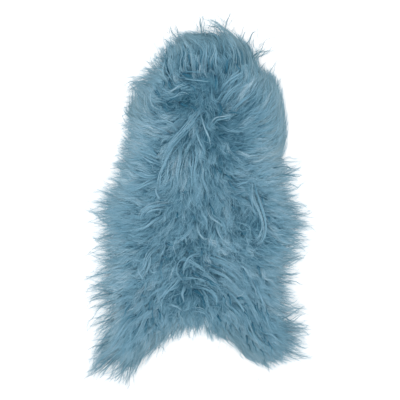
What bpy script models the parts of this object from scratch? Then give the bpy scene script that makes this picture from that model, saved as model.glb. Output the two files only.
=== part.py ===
"""Shag rug: one long-haired sheepskin, lying flat with its wool up.

The wool is a single lumpy slab, deep in the middle and thin at the edge, with tapered locks standing
out all round its rim. Metres, +Z up. The skin lies on the floor at z = 0, and its neck points to +Y.
"""

import math
import random
from collections import namedtuple

import bmesh
import bpy
import numpy as np
from mathutils import Matrix, Vector
from mathutils.geometry import delaunay_2d_cdt

WOOL_COLOUR = (0.142, 0.266, 0.347, 1.0)
WOOL_ROUGHNESS = 0.85
SEED = 7

RIM_HEIGHT = 0.022  # the slab's height at its edge
TIER_HEIGHT = 0.010  # where the lower locks end and the upper locks begin
CROWN_HEIGHT = 0.046  # the slab's height in the middle, before its lumps
CROWN_WIDTH = 0.110  # how far in from the edge the slab goes on rising
RIM_INSET = 0.020  # the slab stops this far inside the wool's edge, and the locks go on past it
RIM_BULGE = 0.004  # the wall swells out by this much at the height of the tier

GRID_PITCH = 0.0134  # spacing of the points on the slab's upper face
RIM_SEGMENTS = 212  # straight pieces round the edge, one lock on each
SPLINE_STEPS = 24  # points worked out between two rows of the edge, before it is evened out

LUMP_PITCH = 0.052  # the wool lies in lumps, one about every so far
LUMP_LENGTH = 0.048
LUMP_WIDTH = 0.016
LUMP_HEIGHTS = (-0.005, 0.012)  # lowest and highest

LOCK_SPREAD = (0.60, 1.35)  # shortest and longest lock, as a share of the length in EDGE
LOCK_WANDER = 7.0  # degrees that a lock may turn from its neighbours
LOCK_BEND = (-0.10, 0.25)  # how far its tip curves aside, as a share of its length

LockStep = namedtuple("LockStep", "reach width low high")
# A lock is drawn out in steps from one piece of the wall: reach and width are shares of its whole
# length and root width, low and high its under and upper side. Lower locks lie level on the floor.
LOWER_LOCK = (LockStep(0.38, 0.80, 0.0, 0.0080), LockStep(0.74, 0.46, 0.0, 0.0050))
LOWER_TIP = 0.0
UPPER_LOCK = (LockStep(0.38, 0.80, 0.0105, 0.0190), LockStep(0.74, 0.46, 0.0085, 0.0135))
UPPER_TIP = 0.0075

EdgeRow = namedtuple("EdgeRow", "place x y lock lean")
# The wool's edge, clockwise from the neck. lock is how far its locks reach out from the slab, and
# lean is how far they turn, in degrees anticlockwise, from pointing square to the edge.
EDGE = [
    EdgeRow(*row)
    for row in (
        ("neck, left", -0.055, 0.484, 0.036, 20),
        ("neck, middle", 0.000, 0.492, 0.036, 22),
        ("neck, tip of the big lock", 0.056, 0.508, 0.040, 26),
        ("neck, right", 0.112, 0.482, 0.030, 32),
        ("neck, right shoulder", 0.168, 0.432, 0.026, 32),
        ("right shoulder", 0.214, 0.370, 0.026, 30),
        ("right foreleg", 0.240, 0.300, 0.026, 35),
        ("right flank, upper", 0.252, 0.230, 0.026, 35),
        ("right flank, above the notch", 0.252, 0.172, 0.024, 24),
        ("right notch", 0.238, 0.124, 0.026, 20),
        ("right flank, below the notch", 0.262, 0.084, 0.046, 20),
        ("right waist", 0.262, 0.030, 0.044, 15),
        ("right bump", 0.297, -0.058, 0.046, 5),
        ("right flank, lower", 0.284, -0.130, 0.044, 0),
        ("right hip", 0.262, -0.225, 0.044, -5),
        ("right hind leg, outer", 0.288, -0.315, 0.046, -10),
        ("right hind leg, corner", 0.296, -0.410, 0.050, -10),
        ("right hind leg, foot", 0.262, -0.458, 0.046, 5),
        ("right hind leg, tip", 0.203, -0.480, 0.032, 20),
        ("right hind leg, inner", 0.128, -0.450, 0.026, 25),
        ("tail, right", 0.062, -0.390, 0.024, 5),
        ("tail, notch", 0.000, -0.366, 0.022, 0),
        ("tail, left", -0.070, -0.390, 0.026, -10),
        ("left hind leg, inner", -0.140, -0.446, 0.034, -25),
        ("left hind leg, inner tip", -0.200, -0.500, 0.046, -10),
        ("left hind leg, tip", -0.244, -0.520, 0.052, 5),
        ("left hind leg, foot", -0.286, -0.478, 0.050, 20),
        ("left hind leg, outer", -0.284, -0.400, 0.042, 25),
        ("left hip, lower", -0.276, -0.325, 0.042, 20),
        ("left hip", -0.288, -0.262, 0.044, 10),
        ("left flank, lower", -0.276, -0.180, 0.044, 5),
        ("left flank", -0.284, -0.105, 0.044, 0),
        ("left bump", -0.290, -0.036, 0.044, -10),
        ("left waist", -0.244, 0.058, 0.044, -15),
        ("left flank, upper", -0.210, 0.140, 0.036, -15),
        ("left foreleg", -0.205, 0.230, 0.030, -15),
        ("left foreleg, upper", -0.196, 0.305, 0.030, -5),
        ("left shoulder tuft", -0.178, 0.350, 0.034, 10),
        ("left shoulder", -0.136, 0.378, 0.028, 20),
        ("neck, left shoulder", -0.104, 0.436, 0.028, 25),
    )
]

FlowRow = namedtuple("FlowRow", "place x y heading")
# Which way the wool lies, in degrees anticlockwise from +X.
FLOW = [
    FlowRow(*row)
    for row in (
        ("neck, left", -0.070, 0.440, 125),
        ("neck, middle", 0.010, 0.440, 95),
        ("neck, right", 0.100, 0.440, 120),
        ("left shoulder", -0.150, 0.350, 170),
        ("left foreleg", -0.150, 0.240, 165),
        ("left waist", -0.160, 0.100, 155),
        ("whorl", -0.040, 0.280, 200),
        ("right shoulder", 0.160, 0.340, 40),
        ("right foreleg", 0.180, 0.200, 25),
        ("right waist", 0.190, 0.080, 25),
        ("back", 0.000, 0.090, 270),
        ("left flank", -0.220, -0.080, 180),
        ("middle, left", -0.100, -0.060, 225),
        ("middle, right", 0.080, -0.080, 300),
        ("right flank", 0.240, -0.110, 0),
        ("left hip", -0.200, -0.230, 190),
        ("rump, left", -0.080, -0.240, 240),
        ("rump, right", 0.080, -0.260, 310),
        ("right hip", 0.220, -0.260, 350),
        ("tail", 0.000, -0.330, 270),
        ("left hind leg", -0.220, -0.420, 235),
        ("right hind leg", 0.210, -0.400, 325),
    )
]

FormRow = namedtuple("FormRow", "place x y heading length width height")
# The main locks (up) and hollows (down), each a long mound or trough lying along its heading.
FORMS = [
    FormRow(*row)
    for row in (
        ("crease behind the neck", 0.003, 0.360, 0, 0.070, 0.014, -0.014),
        ("neck cap, left lock", -0.070, 0.432, 120, 0.055, 0.022, 0.008),
        ("neck cap, right lock", 0.105, 0.432, 122, 0.085, 0.024, 0.013),
        ("whorl hollow", -0.046, 0.284, 165, 0.045, 0.020, -0.017),
        ("hollow right of the whorl", 0.066, 0.190, 262, 0.050, 0.018, -0.013),
        ("long lock from the whorl", -0.036, 0.204, 233, 0.065, 0.017, 0.013),
        ("long lock, lower end", -0.088, 0.098, 262, 0.060, 0.017, 0.010),
        ("hollow inside the curl", 0.122, -0.062, 255, 0.036, 0.018, -0.016),
        ("curl, outer side", 0.172, -0.030, 268, 0.055, 0.015, 0.010),
        ("curl, lower side", 0.122, -0.134, 172, 0.045, 0.015, 0.010),
        ("hollow on the left flank", -0.100, -0.110, 240, 0.050, 0.018, -0.010),
        ("trough above the tail", 0.000, -0.290, 270, 0.080, 0.034, -0.012),
    )
]


def clear_scene():
    for obj in list(bpy.data.objects):
        bpy.data.objects.remove(obj, do_unlink=True)


def closed_spline(values, steps):
    """A smooth closed curve through the rows of values (Catmull-Rom), with so many steps a row."""
    before, after, beyond = (np.roll(values, shift, axis=0) for shift in (1, -1, -2))
    t = (np.arange(steps) / steps)[:, None, None]
    curve = values + 0.5 * t * (
        after - before
        + t * (2 * before - 5 * values + 4 * after - beyond)
        + t * t * (3 * values - before - 3 * after + beyond)
    )
    return curve.transpose(1, 0, 2).reshape(-1, values.shape[1])


def evened(curve, count):
    """The closed curve's columns at evenly spaced places along its first two, x and y."""
    looped = np.vstack([curve, curve[:1]])
    along = np.r_[0.0, np.cumsum(np.hypot(*np.diff(looped[:, :2], axis=0).T))]
    places = np.arange(count) / count * along[-1]
    return np.column_stack([np.interp(places, along, column) for column in looped.T])


def outward(ring):
    """Unit vectors square to a clockwise ring, pointing out of it."""
    run = np.roll(ring, -1, axis=0) - np.roll(ring, 1, axis=0)
    side = np.column_stack([-run[:, 1], run[:, 0]])
    return side / np.linalg.norm(side, axis=1, keepdims=True)


def inside(points, ring):
    """Which of the points lie inside the closed ring."""
    found = np.zeros(len(points), bool)
    for (x0, y0), (x1, y1) in zip(ring, np.roll(ring, -1, axis=0)):
        between = (points[:, 1] < y0) != (points[:, 1] < y1)
        slope = (x1 - x0) / (y1 - y0) if y1 != y0 else 0.0
        found ^= between & (points[:, 0] < x0 + (points[:, 1] - y0) * slope)
    return found


def distance_to(points, ring):
    return np.linalg.norm(points[:, None] - ring[None], axis=2).min(axis=1)


def grid_inside(ring, pitch, margin):
    """Points of a triangular grid that lie inside the ring, at least the margin away from it."""
    low, high = ring.min(axis=0), ring.max(axis=0)
    row_pitch = pitch * math.sqrt(0.75)
    rows = int((high[1] - low[1]) / row_pitch) + 1
    columns = int((high[0] - low[0]) / pitch) + 2
    row, column = np.mgrid[0:rows, 0:columns].reshape(2, -1)
    points = np.column_stack([low[0] + pitch * (column - 0.5 * (row % 2)), low[1] + row_pitch * row])
    points = points[inside(points, ring)]
    return points[distance_to(points, ring) > margin]


def flow_heading(points):
    """The way the wool lies at each point, in radians: the nearest rows of FLOW count most."""
    rows = np.array([(row.x, row.y) for row in FLOW])
    turn = np.radians([row.heading for row in FLOW])
    weight = 1.0 / (np.linalg.norm(points[:, None] - rows[None], axis=2) ** 3 + 1e-5)
    return np.arctan2(weight @ np.sin(turn), weight @ np.cos(turn))


def mound(points, x, y, heading, length, width, height):
    """The height that one long mound, or trough, adds at each point."""
    dx, dy = points[:, 0] - x, points[:, 1] - y
    along = dx * math.cos(heading) + dy * math.sin(heading)
    across = dy * math.cos(heading) - dx * math.sin(heading)
    return height * np.exp(-((along / length) ** 2) - (across / width) ** 2)


def slab_height(points, ring, dice):
    """The wool's depth: a crown rising from the rim, its named forms, and lumps along its flow."""
    rise = np.clip(distance_to(points, ring) / CROWN_WIDTH, 0.0, 1.0)
    height = RIM_HEIGHT + (CROWN_HEIGHT - RIM_HEIGHT) * np.sin(rise * math.pi / 2)
    relief = np.zeros(len(points))
    for form in FORMS:
        relief += mound(points, form.x, form.y, math.radians(form.heading), *form[4:])
    centres = grid_inside(ring, LUMP_PITCH, 0.2 * LUMP_PITCH)
    for (x, y), heading in zip(centres, flow_heading(centres)):
        x += dice.uniform(-0.3, 0.3) * LUMP_PITCH
        y += dice.uniform(-0.3, 0.3) * LUMP_PITCH
        size = dice.uniform(0.8, 1.25)
        lump = dice.uniform(*LUMP_HEIGHTS)
        relief += mound(points, x, y, heading, size * LUMP_LENGTH, size * LUMP_WIDTH, lump)
    return height + relief * np.clip(0.45 + rise, 0.0, 1.0)


def upper_face(bm, ring, dice):
    """The slab's upper face in triangles. Returns its vertices along the ring, in order."""
    flat = np.vstack([ring, grid_inside(ring, GRID_PITCH, 0.55 * GRID_PITCH)])
    rim = range(len(ring))
    places, _, faces, sources, _, _ = delaunay_2d_cdt(flat.tolist(), [], [rim], 1, 1e-6)
    points = np.array([place[:] for place in places])
    heights = slab_height(points, ring, dice)
    verts = [bm.verts.new((x, y, z)) for (x, y), z in zip(points, heights)]
    for face in faces:
        bm.faces.new([verts[i] for i in face])
    vert_of = {source: vert for vert, group in zip(verts, sources) for source in group}
    return [vert_of[i] for i in rim]


def wall_below(bm, upper, places, height):
    """A band of wall from the upper ring down to the places at a height, and the ring that ends it."""
    lower = [bm.verts.new((x, y, height)) for x, y in places]
    corners = zip(upper, lower, lower[1:] + lower[:1], upper[1:] + upper[:1])
    return [bm.faces.new(corner) for corner in corners], lower


def draw_out_lock(bm, face, way, length, bend, steps, tip_height):
    """Extrudes one piece of the rim's wall into a lock that curves aside and narrows to a point."""
    root = face.calc_center_median()
    across = Vector((-way.y, way.x, 0.0))
    half_width = max(abs((vert.co - root).dot(across)) for vert in face.verts)
    for step in steps:
        face = bmesh.ops.extrude_discrete_faces(bm, faces=[face])["faces"][0]
        middle = face.calc_center_median()
        place = root + way * (length * step.reach) + across * (bend * step.reach**2)
        for vert in face.verts:
            side = math.copysign(half_width * step.width, (vert.co - middle).dot(across))
            height = step.high if vert.co.z > middle.z else step.low
            vert.co = (place.x + side * across.x, place.y + side * across.y, height)
    face = bmesh.ops.extrude_discrete_faces(bm, faces=[face])["faces"][0]
    tip = root + way * length + across * bend
    tip.z = tip_height
    bmesh.ops.pointmerge(bm, verts=list(face.verts), merge_co=tip)


def rim_locks(bm, lower_wall, upper_wall, out, lock, lean, dice):
    """One lock on each piece of the rim, by turns low, level on the floor, and high, drooping."""
    for i, (length, turn) in enumerate(zip(lock, lean)):
        angle = math.radians(turn + dice.uniform(-LOCK_WANDER, LOCK_WANDER))
        way = Vector((*out[i], 0.0))
        way.rotate(Matrix.Rotation(angle, 3, "Z"))
        length *= dice.uniform(*LOCK_SPREAD)
        bend = length * dice.uniform(*LOCK_BEND)
        if i % 2:
            draw_out_lock(bm, upper_wall[i], way, length, bend, UPPER_LOCK, UPPER_TIP)
        else:
            draw_out_lock(bm, lower_wall[i], way, length, bend, LOWER_LOCK, LOWER_TIP)


def wool_material():
    material = bpy.data.materials.new("dyed wool")
    material.use_nodes = True
    shader = material.node_tree.nodes["Principled BSDF"]
    shader.inputs["Base Color"].default_value = WOOL_COLOUR
    shader.inputs["Roughness"].default_value = WOOL_ROUGHNESS
    shader.inputs["Metallic"].default_value = 0.0
    return material


def make_pelt():
    """The whole rug as one solid, with its base centred on the origin."""
    dice = random.Random(SEED)
    edge = closed_spline(np.array([row[1:] for row in EDGE]), SPLINE_STEPS)
    edge = evened(edge, len(edge))
    edge[:, :2] -= RIM_INSET * outward(edge[:, :2])
    rim = evened(edge, RIM_SEGMENTS)
    ring, lock, lean = rim[:, :2], rim[:, 2], rim[:, 3]
    out = outward(ring)

    bm = bmesh.new()
    top_ring = upper_face(bm, ring, dice)
    upper_wall, tier_ring = wall_below(bm, top_ring, ring + RIM_BULGE * out, TIER_HEIGHT)
    lower_wall, floor_ring = wall_below(bm, tier_ring, ring, 0.0)
    bm.faces.new(floor_ring[::-1])
    bmesh.ops.recalc_face_normals(bm, faces=bm.faces)
    rim_locks(bm, lower_wall, upper_wall, out, lock, lean, dice)

    corners = np.array([vert.co[:] for vert in bm.verts])
    middle = 0.5 * (corners.min(axis=0) + corners.max(axis=0))
    bmesh.ops.translate(bm, vec=(-middle[0], -middle[1], 0.0), verts=bm.verts)
    mesh = bpy.data.meshes.new("pelt")
    bm.to_mesh(mesh)
    bm.free()
    mesh.materials.append(wool_material())
    pelt = bpy.data.objects.new("pelt", mesh)
    bpy.context.scene.collection.objects.link(pelt)


clear_scene()
make_pelt()
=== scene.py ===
"""A long-haired sheepskin shag rug, dyed ice blue, laid flat with its wool up."""

import math
from collections import namedtuple

import bmesh
import bpy
import numpy as np
from mathutils.bvhtree import BVHTree
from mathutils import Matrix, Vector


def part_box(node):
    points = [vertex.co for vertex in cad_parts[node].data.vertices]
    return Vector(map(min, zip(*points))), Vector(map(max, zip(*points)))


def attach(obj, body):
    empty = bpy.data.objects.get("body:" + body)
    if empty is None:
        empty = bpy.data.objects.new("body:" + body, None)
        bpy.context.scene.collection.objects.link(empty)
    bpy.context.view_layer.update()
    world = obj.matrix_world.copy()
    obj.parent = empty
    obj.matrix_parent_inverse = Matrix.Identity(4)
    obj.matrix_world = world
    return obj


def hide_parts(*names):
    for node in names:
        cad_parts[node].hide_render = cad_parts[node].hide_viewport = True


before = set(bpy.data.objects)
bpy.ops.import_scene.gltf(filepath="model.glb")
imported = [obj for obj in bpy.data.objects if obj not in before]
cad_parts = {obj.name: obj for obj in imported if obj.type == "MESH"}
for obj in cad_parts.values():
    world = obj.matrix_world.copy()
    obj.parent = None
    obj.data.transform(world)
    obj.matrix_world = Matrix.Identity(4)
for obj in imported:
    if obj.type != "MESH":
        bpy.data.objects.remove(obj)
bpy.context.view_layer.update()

# ---------------------------------------------------------------- camera, light and floor
# The rug is looked at from straight above, from far enough that its wool doesn't lean outwards. It
# lies on a white floor in an evenly lit white room, with one large lamp at its upper left.

CAMERA_PLACE = (-0.002, 0.011, 2.74)
CAMERA_LENS = 85.0
FLOOR_SIZE = 40.0

camera_data = bpy.data.cameras.new("camera")
camera_data.lens = CAMERA_LENS
camera = bpy.data.objects.new("camera", camera_data)
camera.location = CAMERA_PLACE
bpy.context.scene.collection.objects.link(camera)
bpy.context.scene.camera = camera

sky = bpy.data.worlds.new("white room")
sky.use_nodes = True
sky.node_tree.nodes["Background"].inputs["Color"].default_value = (1.0, 1.0, 1.0, 1.0)
sky.node_tree.nodes["Background"].inputs["Strength"].default_value = 1.0
bpy.context.scene.world = sky
bpy.context.scene.view_settings.view_transform = "Standard"


def soft_box(name, place, turn, size, power):
    """One large square lamp, with its place in metres and its turn in degrees."""
    lamp = bpy.data.lights.new(name, "AREA")
    lamp.shape = "SQUARE"
    lamp.size = size
    lamp.energy = power
    obj = bpy.data.objects.new(name, lamp)
    obj.location = place
    obj.rotation_euler = [math.radians(angle) for angle in turn]
    bpy.context.scene.collection.objects.link(obj)


soft_box("overhead softbox", place=(-0.9, 1.1, 2.2), turn=(-26, -22, 0), size=1.6, power=9.0)

floor_mesh = bpy.data.meshes.new("floor")
floor_shape = bmesh.new()
bmesh.ops.create_grid(floor_shape, x_segments=1, y_segments=1, size=FLOOR_SIZE)
floor_shape.to_mesh(floor_mesh)
floor_shape.free()
floor = bpy.data.objects.new("floor", floor_mesh)
bpy.context.scene.collection.objects.link(floor)
floor_paint = bpy.data.materials.new("white floor")
floor_paint.use_nodes = True
floor_shader = floor_paint.node_tree.nodes["Principled BSDF"]
floor_shader.inputs["Base Color"].default_value = (0.93, 0.93, 0.93, 1.0)
floor_shader.inputs["Roughness"].default_value = 0.9
floor_shader.inputs["Specular IOR Level"].default_value = 0.1
floor_shader.inputs["Emission Color"].default_value = (1.0, 1.0, 1.0, 1.0)
floor_shader.inputs["Emission Strength"].default_value = 0.25
floor_mesh.materials.append(floor_paint)

# ---------------------------------------------------------------- skin
# The tanned sheepskin itself: one piece of soft leather, cut as it came off the animal, with a neck
# and two hind legs. It lies on the floor, and all the wool grows out of it.

EdgeRow = namedtuple("EdgeRow", "place x y over")
# The edge of the combed wool, clockwise from the neck. over is how far the longest tips stand out
# past it: the wool is feathered where that is far, and smooth where it is near.
WOOL_EDGE = [
    EdgeRow(*row)
    for row in (
        ("neck, left corner", -0.098, 0.459, 0.020),
        ("neck, left", -0.071, 0.472, 0.016),
        ("neck, left of the middle", -0.039, 0.493, 0.010),
        ("neck, middle", 0.002, 0.497, 0.008),
        ("neck, beside the big lock", 0.048, 0.490, 0.012),
        ("neck, big lock", 0.083, 0.492, 0.016),
        ("neck, right", 0.124, 0.478, 0.009),
        ("neck, right shoulder", 0.159, 0.448, 0.010),
        ("neck, foot of its right side", 0.170, 0.395, 0.014),
        ("right shoulder", 0.215, 0.364, 0.014),
        ("right foreleg", 0.237, 0.302, 0.009),
        ("right flank, upper", 0.247, 0.240, 0.008),
        ("right flank, above the notch", 0.247, 0.182, 0.008),
        ("right notch", 0.238, 0.126, 0.018),
        ("right flank, below the notch", 0.265, 0.090, 0.060),
        ("right waist", 0.266, 0.032, 0.036),
        ("right bump", 0.299, -0.051, 0.046),
        ("right flank, lower", 0.288, -0.123, 0.048),
        ("right hip", 0.251, -0.217, 0.033),
        ("right hind leg, outer", 0.264, -0.310, 0.050),
        ("right hind leg, corner", 0.293, -0.399, 0.048),
        ("right hind leg, foot", 0.253, -0.444, 0.028),
        ("right hind leg, tip", 0.197, -0.463, 0.018),
        ("right hind leg, inner", 0.128, -0.450, 0.009),
        ("right hind leg, inner, upper", 0.085, -0.401, 0.009),
        ("tail, right", 0.033, -0.391, 0.030),
        ("tail, notch", -0.015, -0.369, 0.028),
        ("tail, left", -0.072, -0.384, 0.026),
        ("left hind leg, inner", -0.147, -0.437, 0.014),
        ("left hind leg, inner tip", -0.203, -0.482, 0.032),
        ("left hind leg, tip", -0.242, -0.469, 0.036),
        ("left hind leg, foot", -0.300, -0.475, 0.068),
        ("left hind leg, outer", -0.301, -0.399, 0.042),
        ("left hip, lower", -0.281, -0.330, 0.044),
        ("left hip", -0.303, -0.258, 0.056),
        ("left flank, lower", -0.293, -0.179, 0.046),
        ("left flank", -0.288, -0.100, 0.044),
        ("left bump", -0.296, -0.020, 0.050),
        ("left waist", -0.260, 0.049, 0.030),
        ("left flank, upper", -0.234, 0.126, 0.028),
        ("left flank, below the foreleg", -0.214, 0.200, 0.026),
        ("left foreleg", -0.214, 0.268, 0.012),
        ("left foreleg, upper", -0.187, 0.315, 0.010),
        ("left shoulder tuft", -0.176, 0.348, 0.030),
        ("left shoulder", -0.156, 0.376, 0.024),
        ("neck, foot of its left side", -0.134, 0.403, 0.026),
        ("neck, left side", -0.123, 0.436, 0.022),
    )
]
EDGE_POINTS = 420
SKIN_INSET = 0.010  # the skin ends inside the wool's edge by this much and by over
ROOT_INSET = 0.004  # the outermost roots stand this far inside the skin's edge
SKIN_THICKNESS = 0.0025
CURVE_STEPS = 12  # points worked out from each row of a curve to the next


def curve_through(before, here, after, beyond):
    """Points of the smooth curves from here to after, each shaped by the rows beside it (Catmull-Rom)."""
    t = (np.arange(CURVE_STEPS) / CURVE_STEPS)[:, None, None]
    straight = after - before
    bent = 2 * before - 5 * here + 4 * after - beyond
    twice_bent = 3 * here - before - 3 * after + beyond
    curve = here + 0.5 * t * (straight + t * bent + t * t * twice_bent)
    return curve.transpose(1, 0, 2).reshape(-1, here.shape[1])


def smooth_ring(rows):
    """A smooth closed curve through the rows of numbers, as more rows."""
    before, after, beyond = (np.roll(rows, shift, axis=0) for shift in (1, -1, -2))
    return curve_through(before, rows, after, beyond)


def evened(ring, count):
    """The ring's rows at evenly spaced places along its x and y."""
    looped = np.vstack([ring, ring[:1]])
    along = np.r_[0.0, np.cumsum(np.hypot(*np.diff(looped[:, :2], axis=0).T))]
    places = np.arange(count) / count * along[-1]
    return np.column_stack([np.interp(places, along, column) for column in looped.T])


def outward(ring):
    """Unit vectors square to a clockwise ring, pointing out of it."""
    run = np.roll(ring, -1, axis=0) - np.roll(ring, 1, axis=0)
    side = np.column_stack([-run[:, 1], run[:, 0]])
    return side / np.linalg.norm(side, axis=1, keepdims=True)


wool_edge = evened(smooth_ring(np.array([row[1:] for row in WOOL_EDGE])), EDGE_POINTS)
wool_ring, wool_over = wool_edge[:, :2], wool_edge[:, 2]
wool_out = outward(wool_ring)
skin_inset = SKIN_INSET + wool_over
skin_ring = wool_ring - skin_inset[:, None] * wool_out
root_ring = skin_ring - ROOT_INSET * wool_out


def inside(points, ring):
    """Which of the points lie inside the closed ring."""
    found = np.zeros(len(points), bool)
    for (x0, y0), (x1, y1) in zip(ring, np.roll(ring, -1, axis=0)):
        between = (points[:, 1] < y0) != (points[:, 1] < y1)
        slope = (x1 - x0) / (y1 - y0) if y1 != y0 else 0.0
        found ^= between & (points[:, 0] < x0 + (points[:, 1] - y0) * slope)
    return found


def new_piece(name, mesh, material):
    """Puts a finished mesh into the scene as a piece of the rug."""
    mesh.materials.append(material)
    piece = bpy.data.objects.new(name, mesh)
    bpy.context.scene.collection.objects.link(piece)
    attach(piece, "root")
    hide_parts("pelt")
    return piece


def napped(name, roughness, grain, detail, dark, pale, nap, nap_depth):
    """A matt, napped finish, whose colour and surface both follow one fine grain."""
    material = bpy.data.materials.new(name)
    material.use_nodes = True
    nodes = material.node_tree.nodes
    links = material.node_tree.links
    shader = nodes["Principled BSDF"]
    shader.inputs["Roughness"].default_value = roughness
    place = nodes.new("ShaderNodeTexCoord")
    noise = nodes.new("ShaderNodeTexNoise")
    noise.inputs["Scale"].default_value = grain
    noise.inputs["Detail"].default_value = detail
    tone = nodes.new("ShaderNodeValToRGB")
    for stop, position, colour in zip(tone.color_ramp.elements, (0.3, 0.7), (dark, pale)):
        stop.position = position
        stop.color = (*colour, 1.0)
    bump = nodes.new("ShaderNodeBump")
    bump.inputs["Strength"].default_value = nap
    bump.inputs["Distance"].default_value = nap_depth
    links.new(place.outputs["Object"], noise.inputs["Vector"])
    links.new(noise.outputs["Fac"], tone.inputs["Fac"])
    links.new(noise.outputs["Fac"], bump.inputs["Height"])
    links.new(tone.outputs["Color"], shader.inputs["Base Color"])
    links.new(bump.outputs["Normal"], shader.inputs["Normal"])
    return material


suede = napped(
    "suede",
    roughness=0.9,
    grain=55.0,
    detail=6.0,
    dark=(0.26, 0.33, 0.37),
    pale=(0.47, 0.53, 0.55),
    nap=0.4,
    nap_depth=0.0006,
)
suede.node_tree.nodes["Principled BSDF"].inputs["Sheen Weight"].default_value = 0.3

skin_shape = bmesh.new()
skin_face = skin_shape.faces.new([skin_shape.verts.new((x, y, 0.0)) for x, y in skin_ring[::-1]])
skin_walls = bmesh.ops.extrude_face_region(skin_shape, geom=[skin_face])["geom"]
skin_top = [part for part in skin_walls if isinstance(part, bmesh.types.BMVert)]
bmesh.ops.translate(skin_shape, vec=(0.0, 0.0, SKIN_THICKNESS), verts=skin_top)
bmesh.ops.recalc_face_normals(skin_shape, faces=skin_shape.faces)
skin_mesh = bpy.data.meshes.new("skin")
skin_shape.to_mesh(skin_mesh)
skin_shape.free()
skin = new_piece("skin", skin_mesh, suede)

# ---------------------------------------------------------------- underwool
# The short, dense wool next to the skin. It fills the rug under the long locks, so that no floor or
# skin shows between them. Its colour is painted the darkest of the wool, as painted shade, because
# little light reaches it.

DEPTH_CELL = 0.004  # spacing of the places where the wool's depth is looked up
DEPTH_MARGIN = 0.08  # how far past the rug the depth is worked out
THIN_WOOL = 0.020  # wool thinner than this is at the rim or past it
RIM_FALL = 0.93  # there its depth falls at each cell to this share of the deepest beside it
UNDERWOOL_CELL = 0.007
UNDERWOOL_SHARE = 0.62  # the underwool's depth as a share of the whole
UNDERWOOL_INSET = 0.006  # from the edge of the skin
UNDERWOOL_LUMPS = 0.0015  # how far its points stray up and down

pelt_copy = bmesh.new()
pelt_copy.from_mesh(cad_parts["pelt"].data)
pelt = BVHTree.FromBMesh(pelt_copy)
pelt_copy.free()
low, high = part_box("pelt")
grid_x = np.arange(low.x - DEPTH_MARGIN, high.x + DEPTH_MARGIN, DEPTH_CELL)
grid_y = np.arange(low.y - DEPTH_MARGIN, high.y + DEPTH_MARGIN, DEPTH_CELL)


def depth_from_above(x, y):
    """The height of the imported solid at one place, or 0 beside it."""
    place = pelt.ray_cast((x, y, high.z + 0.1), (0.0, 0.0, -1.0))[0]
    return place.z if place else 0.0


def neighbours(grid):
    """The grid nine times over, moved to each of the cells round its own and left in place."""
    padded = np.pad(grid, 1, mode="edge")
    return [padded[1 + j : padded.shape[0] - 1 + j, 1 + i : padded.shape[1] - 1 + i]
            for j in (-1, 0, 1) for i in (-1, 0, 1)]


wool_depth = np.array([[depth_from_above(x, y) for x in grid_x] for y in grid_y])
for _ in range(int(DEPTH_MARGIN / DEPTH_CELL)):
    fallen = RIM_FALL * np.max(neighbours(wool_depth), axis=0)
    wool_depth = np.maximum(wool_depth, fallen * (wool_depth < THIN_WOOL))
for _ in range(2):
    wool_depth = np.mean(neighbours(wool_depth), axis=0)


def depth_at(x, y):
    """The wool's depth at many places, between the cells where it is known."""
    across = np.clip((x - grid_x[0]) / DEPTH_CELL, 0, len(grid_x) - 1.001)
    along = np.clip((y - grid_y[0]) / DEPTH_CELL, 0, len(grid_y) - 1.001)
    i, j = across.astype(int), along.astype(int)
    u, v = across - i, along - j
    near = wool_depth[j, i] * (1 - u) + wool_depth[j, i + 1] * u
    far = wool_depth[j + 1, i] * (1 - u) + wool_depth[j + 1, i + 1] * u
    return near * (1 - v) + far * v


# Painted shade: the underwool's colours are darker than the long wool's, for the shade deep in the pile.
matted_in_painted_shade = napped(
    "matted wool",
    roughness=0.95,
    grain=140.0,
    detail=5.0,
    dark=(0.035, 0.130, 0.200),
    pale=(0.100, 0.270, 0.370),
    nap=0.8,
    nap_depth=0.003,
)

under_ring = skin_ring - UNDERWOOL_INSET * wool_out
under_shape = bmesh.new()
under_size = 0.5 * (high - low)
bmesh.ops.create_grid(
    under_shape,
    x_segments=int(2 * under_size.x / UNDERWOOL_CELL),
    y_segments=int(2 * under_size.y / UNDERWOOL_CELL),
    size=1.0,
)
bmesh.ops.scale(under_shape, vec=(under_size.x, under_size.y, 1.0), verts=under_shape.verts)
under_places = np.array([vert.co.xy[:] for vert in under_shape.verts])
under_kept = inside(under_places, under_ring)
outside_verts = [vert for vert, kept in zip(list(under_shape.verts), under_kept) if not kept]
bmesh.ops.delete(under_shape, geom=outside_verts, context="VERTS")
under_dice = np.random.default_rng(11)
for vert in under_shape.verts:
    deep = UNDERWOOL_SHARE * depth_at(np.array([vert.co.x]), np.array([vert.co.y]))[0]
    vert.co.z = deep + under_dice.uniform(-UNDERWOOL_LUMPS, UNDERWOOL_LUMPS)
under_border = [edge for edge in under_shape.edges if edge.is_boundary]
under_skirt = bmesh.ops.extrude_edge_only(under_shape, edges=under_border)["geom"]
for vert in (part for part in under_skirt if isinstance(part, bmesh.types.BMVert)):
    vert.co.z = SKIN_THICKNESS
bmesh.ops.smooth_vert(under_shape, verts=under_shape.verts, factor=0.5,
                      use_axis_x=True, use_axis_y=True, use_axis_z=True)
bmesh.ops.recalc_face_normals(under_shape, faces=under_shape.faces)
under_mesh = bpy.data.meshes.new("underwool")
under_shape.to_mesh(under_mesh)
under_shape.free()
under_mesh.shade_smooth()
new_piece("underwool", under_mesh, matted_in_painted_shade)

# ---------------------------------------------------------------- long wool
# The long outer wool, which grows in locks. Each lock starts deep in the pile, rises to the top and
# lies over the roots of the next one, and its strands draw together towards its tip.

LieRow = namedtuple("LieRow", "place x y heading length wave mess shade")
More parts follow.
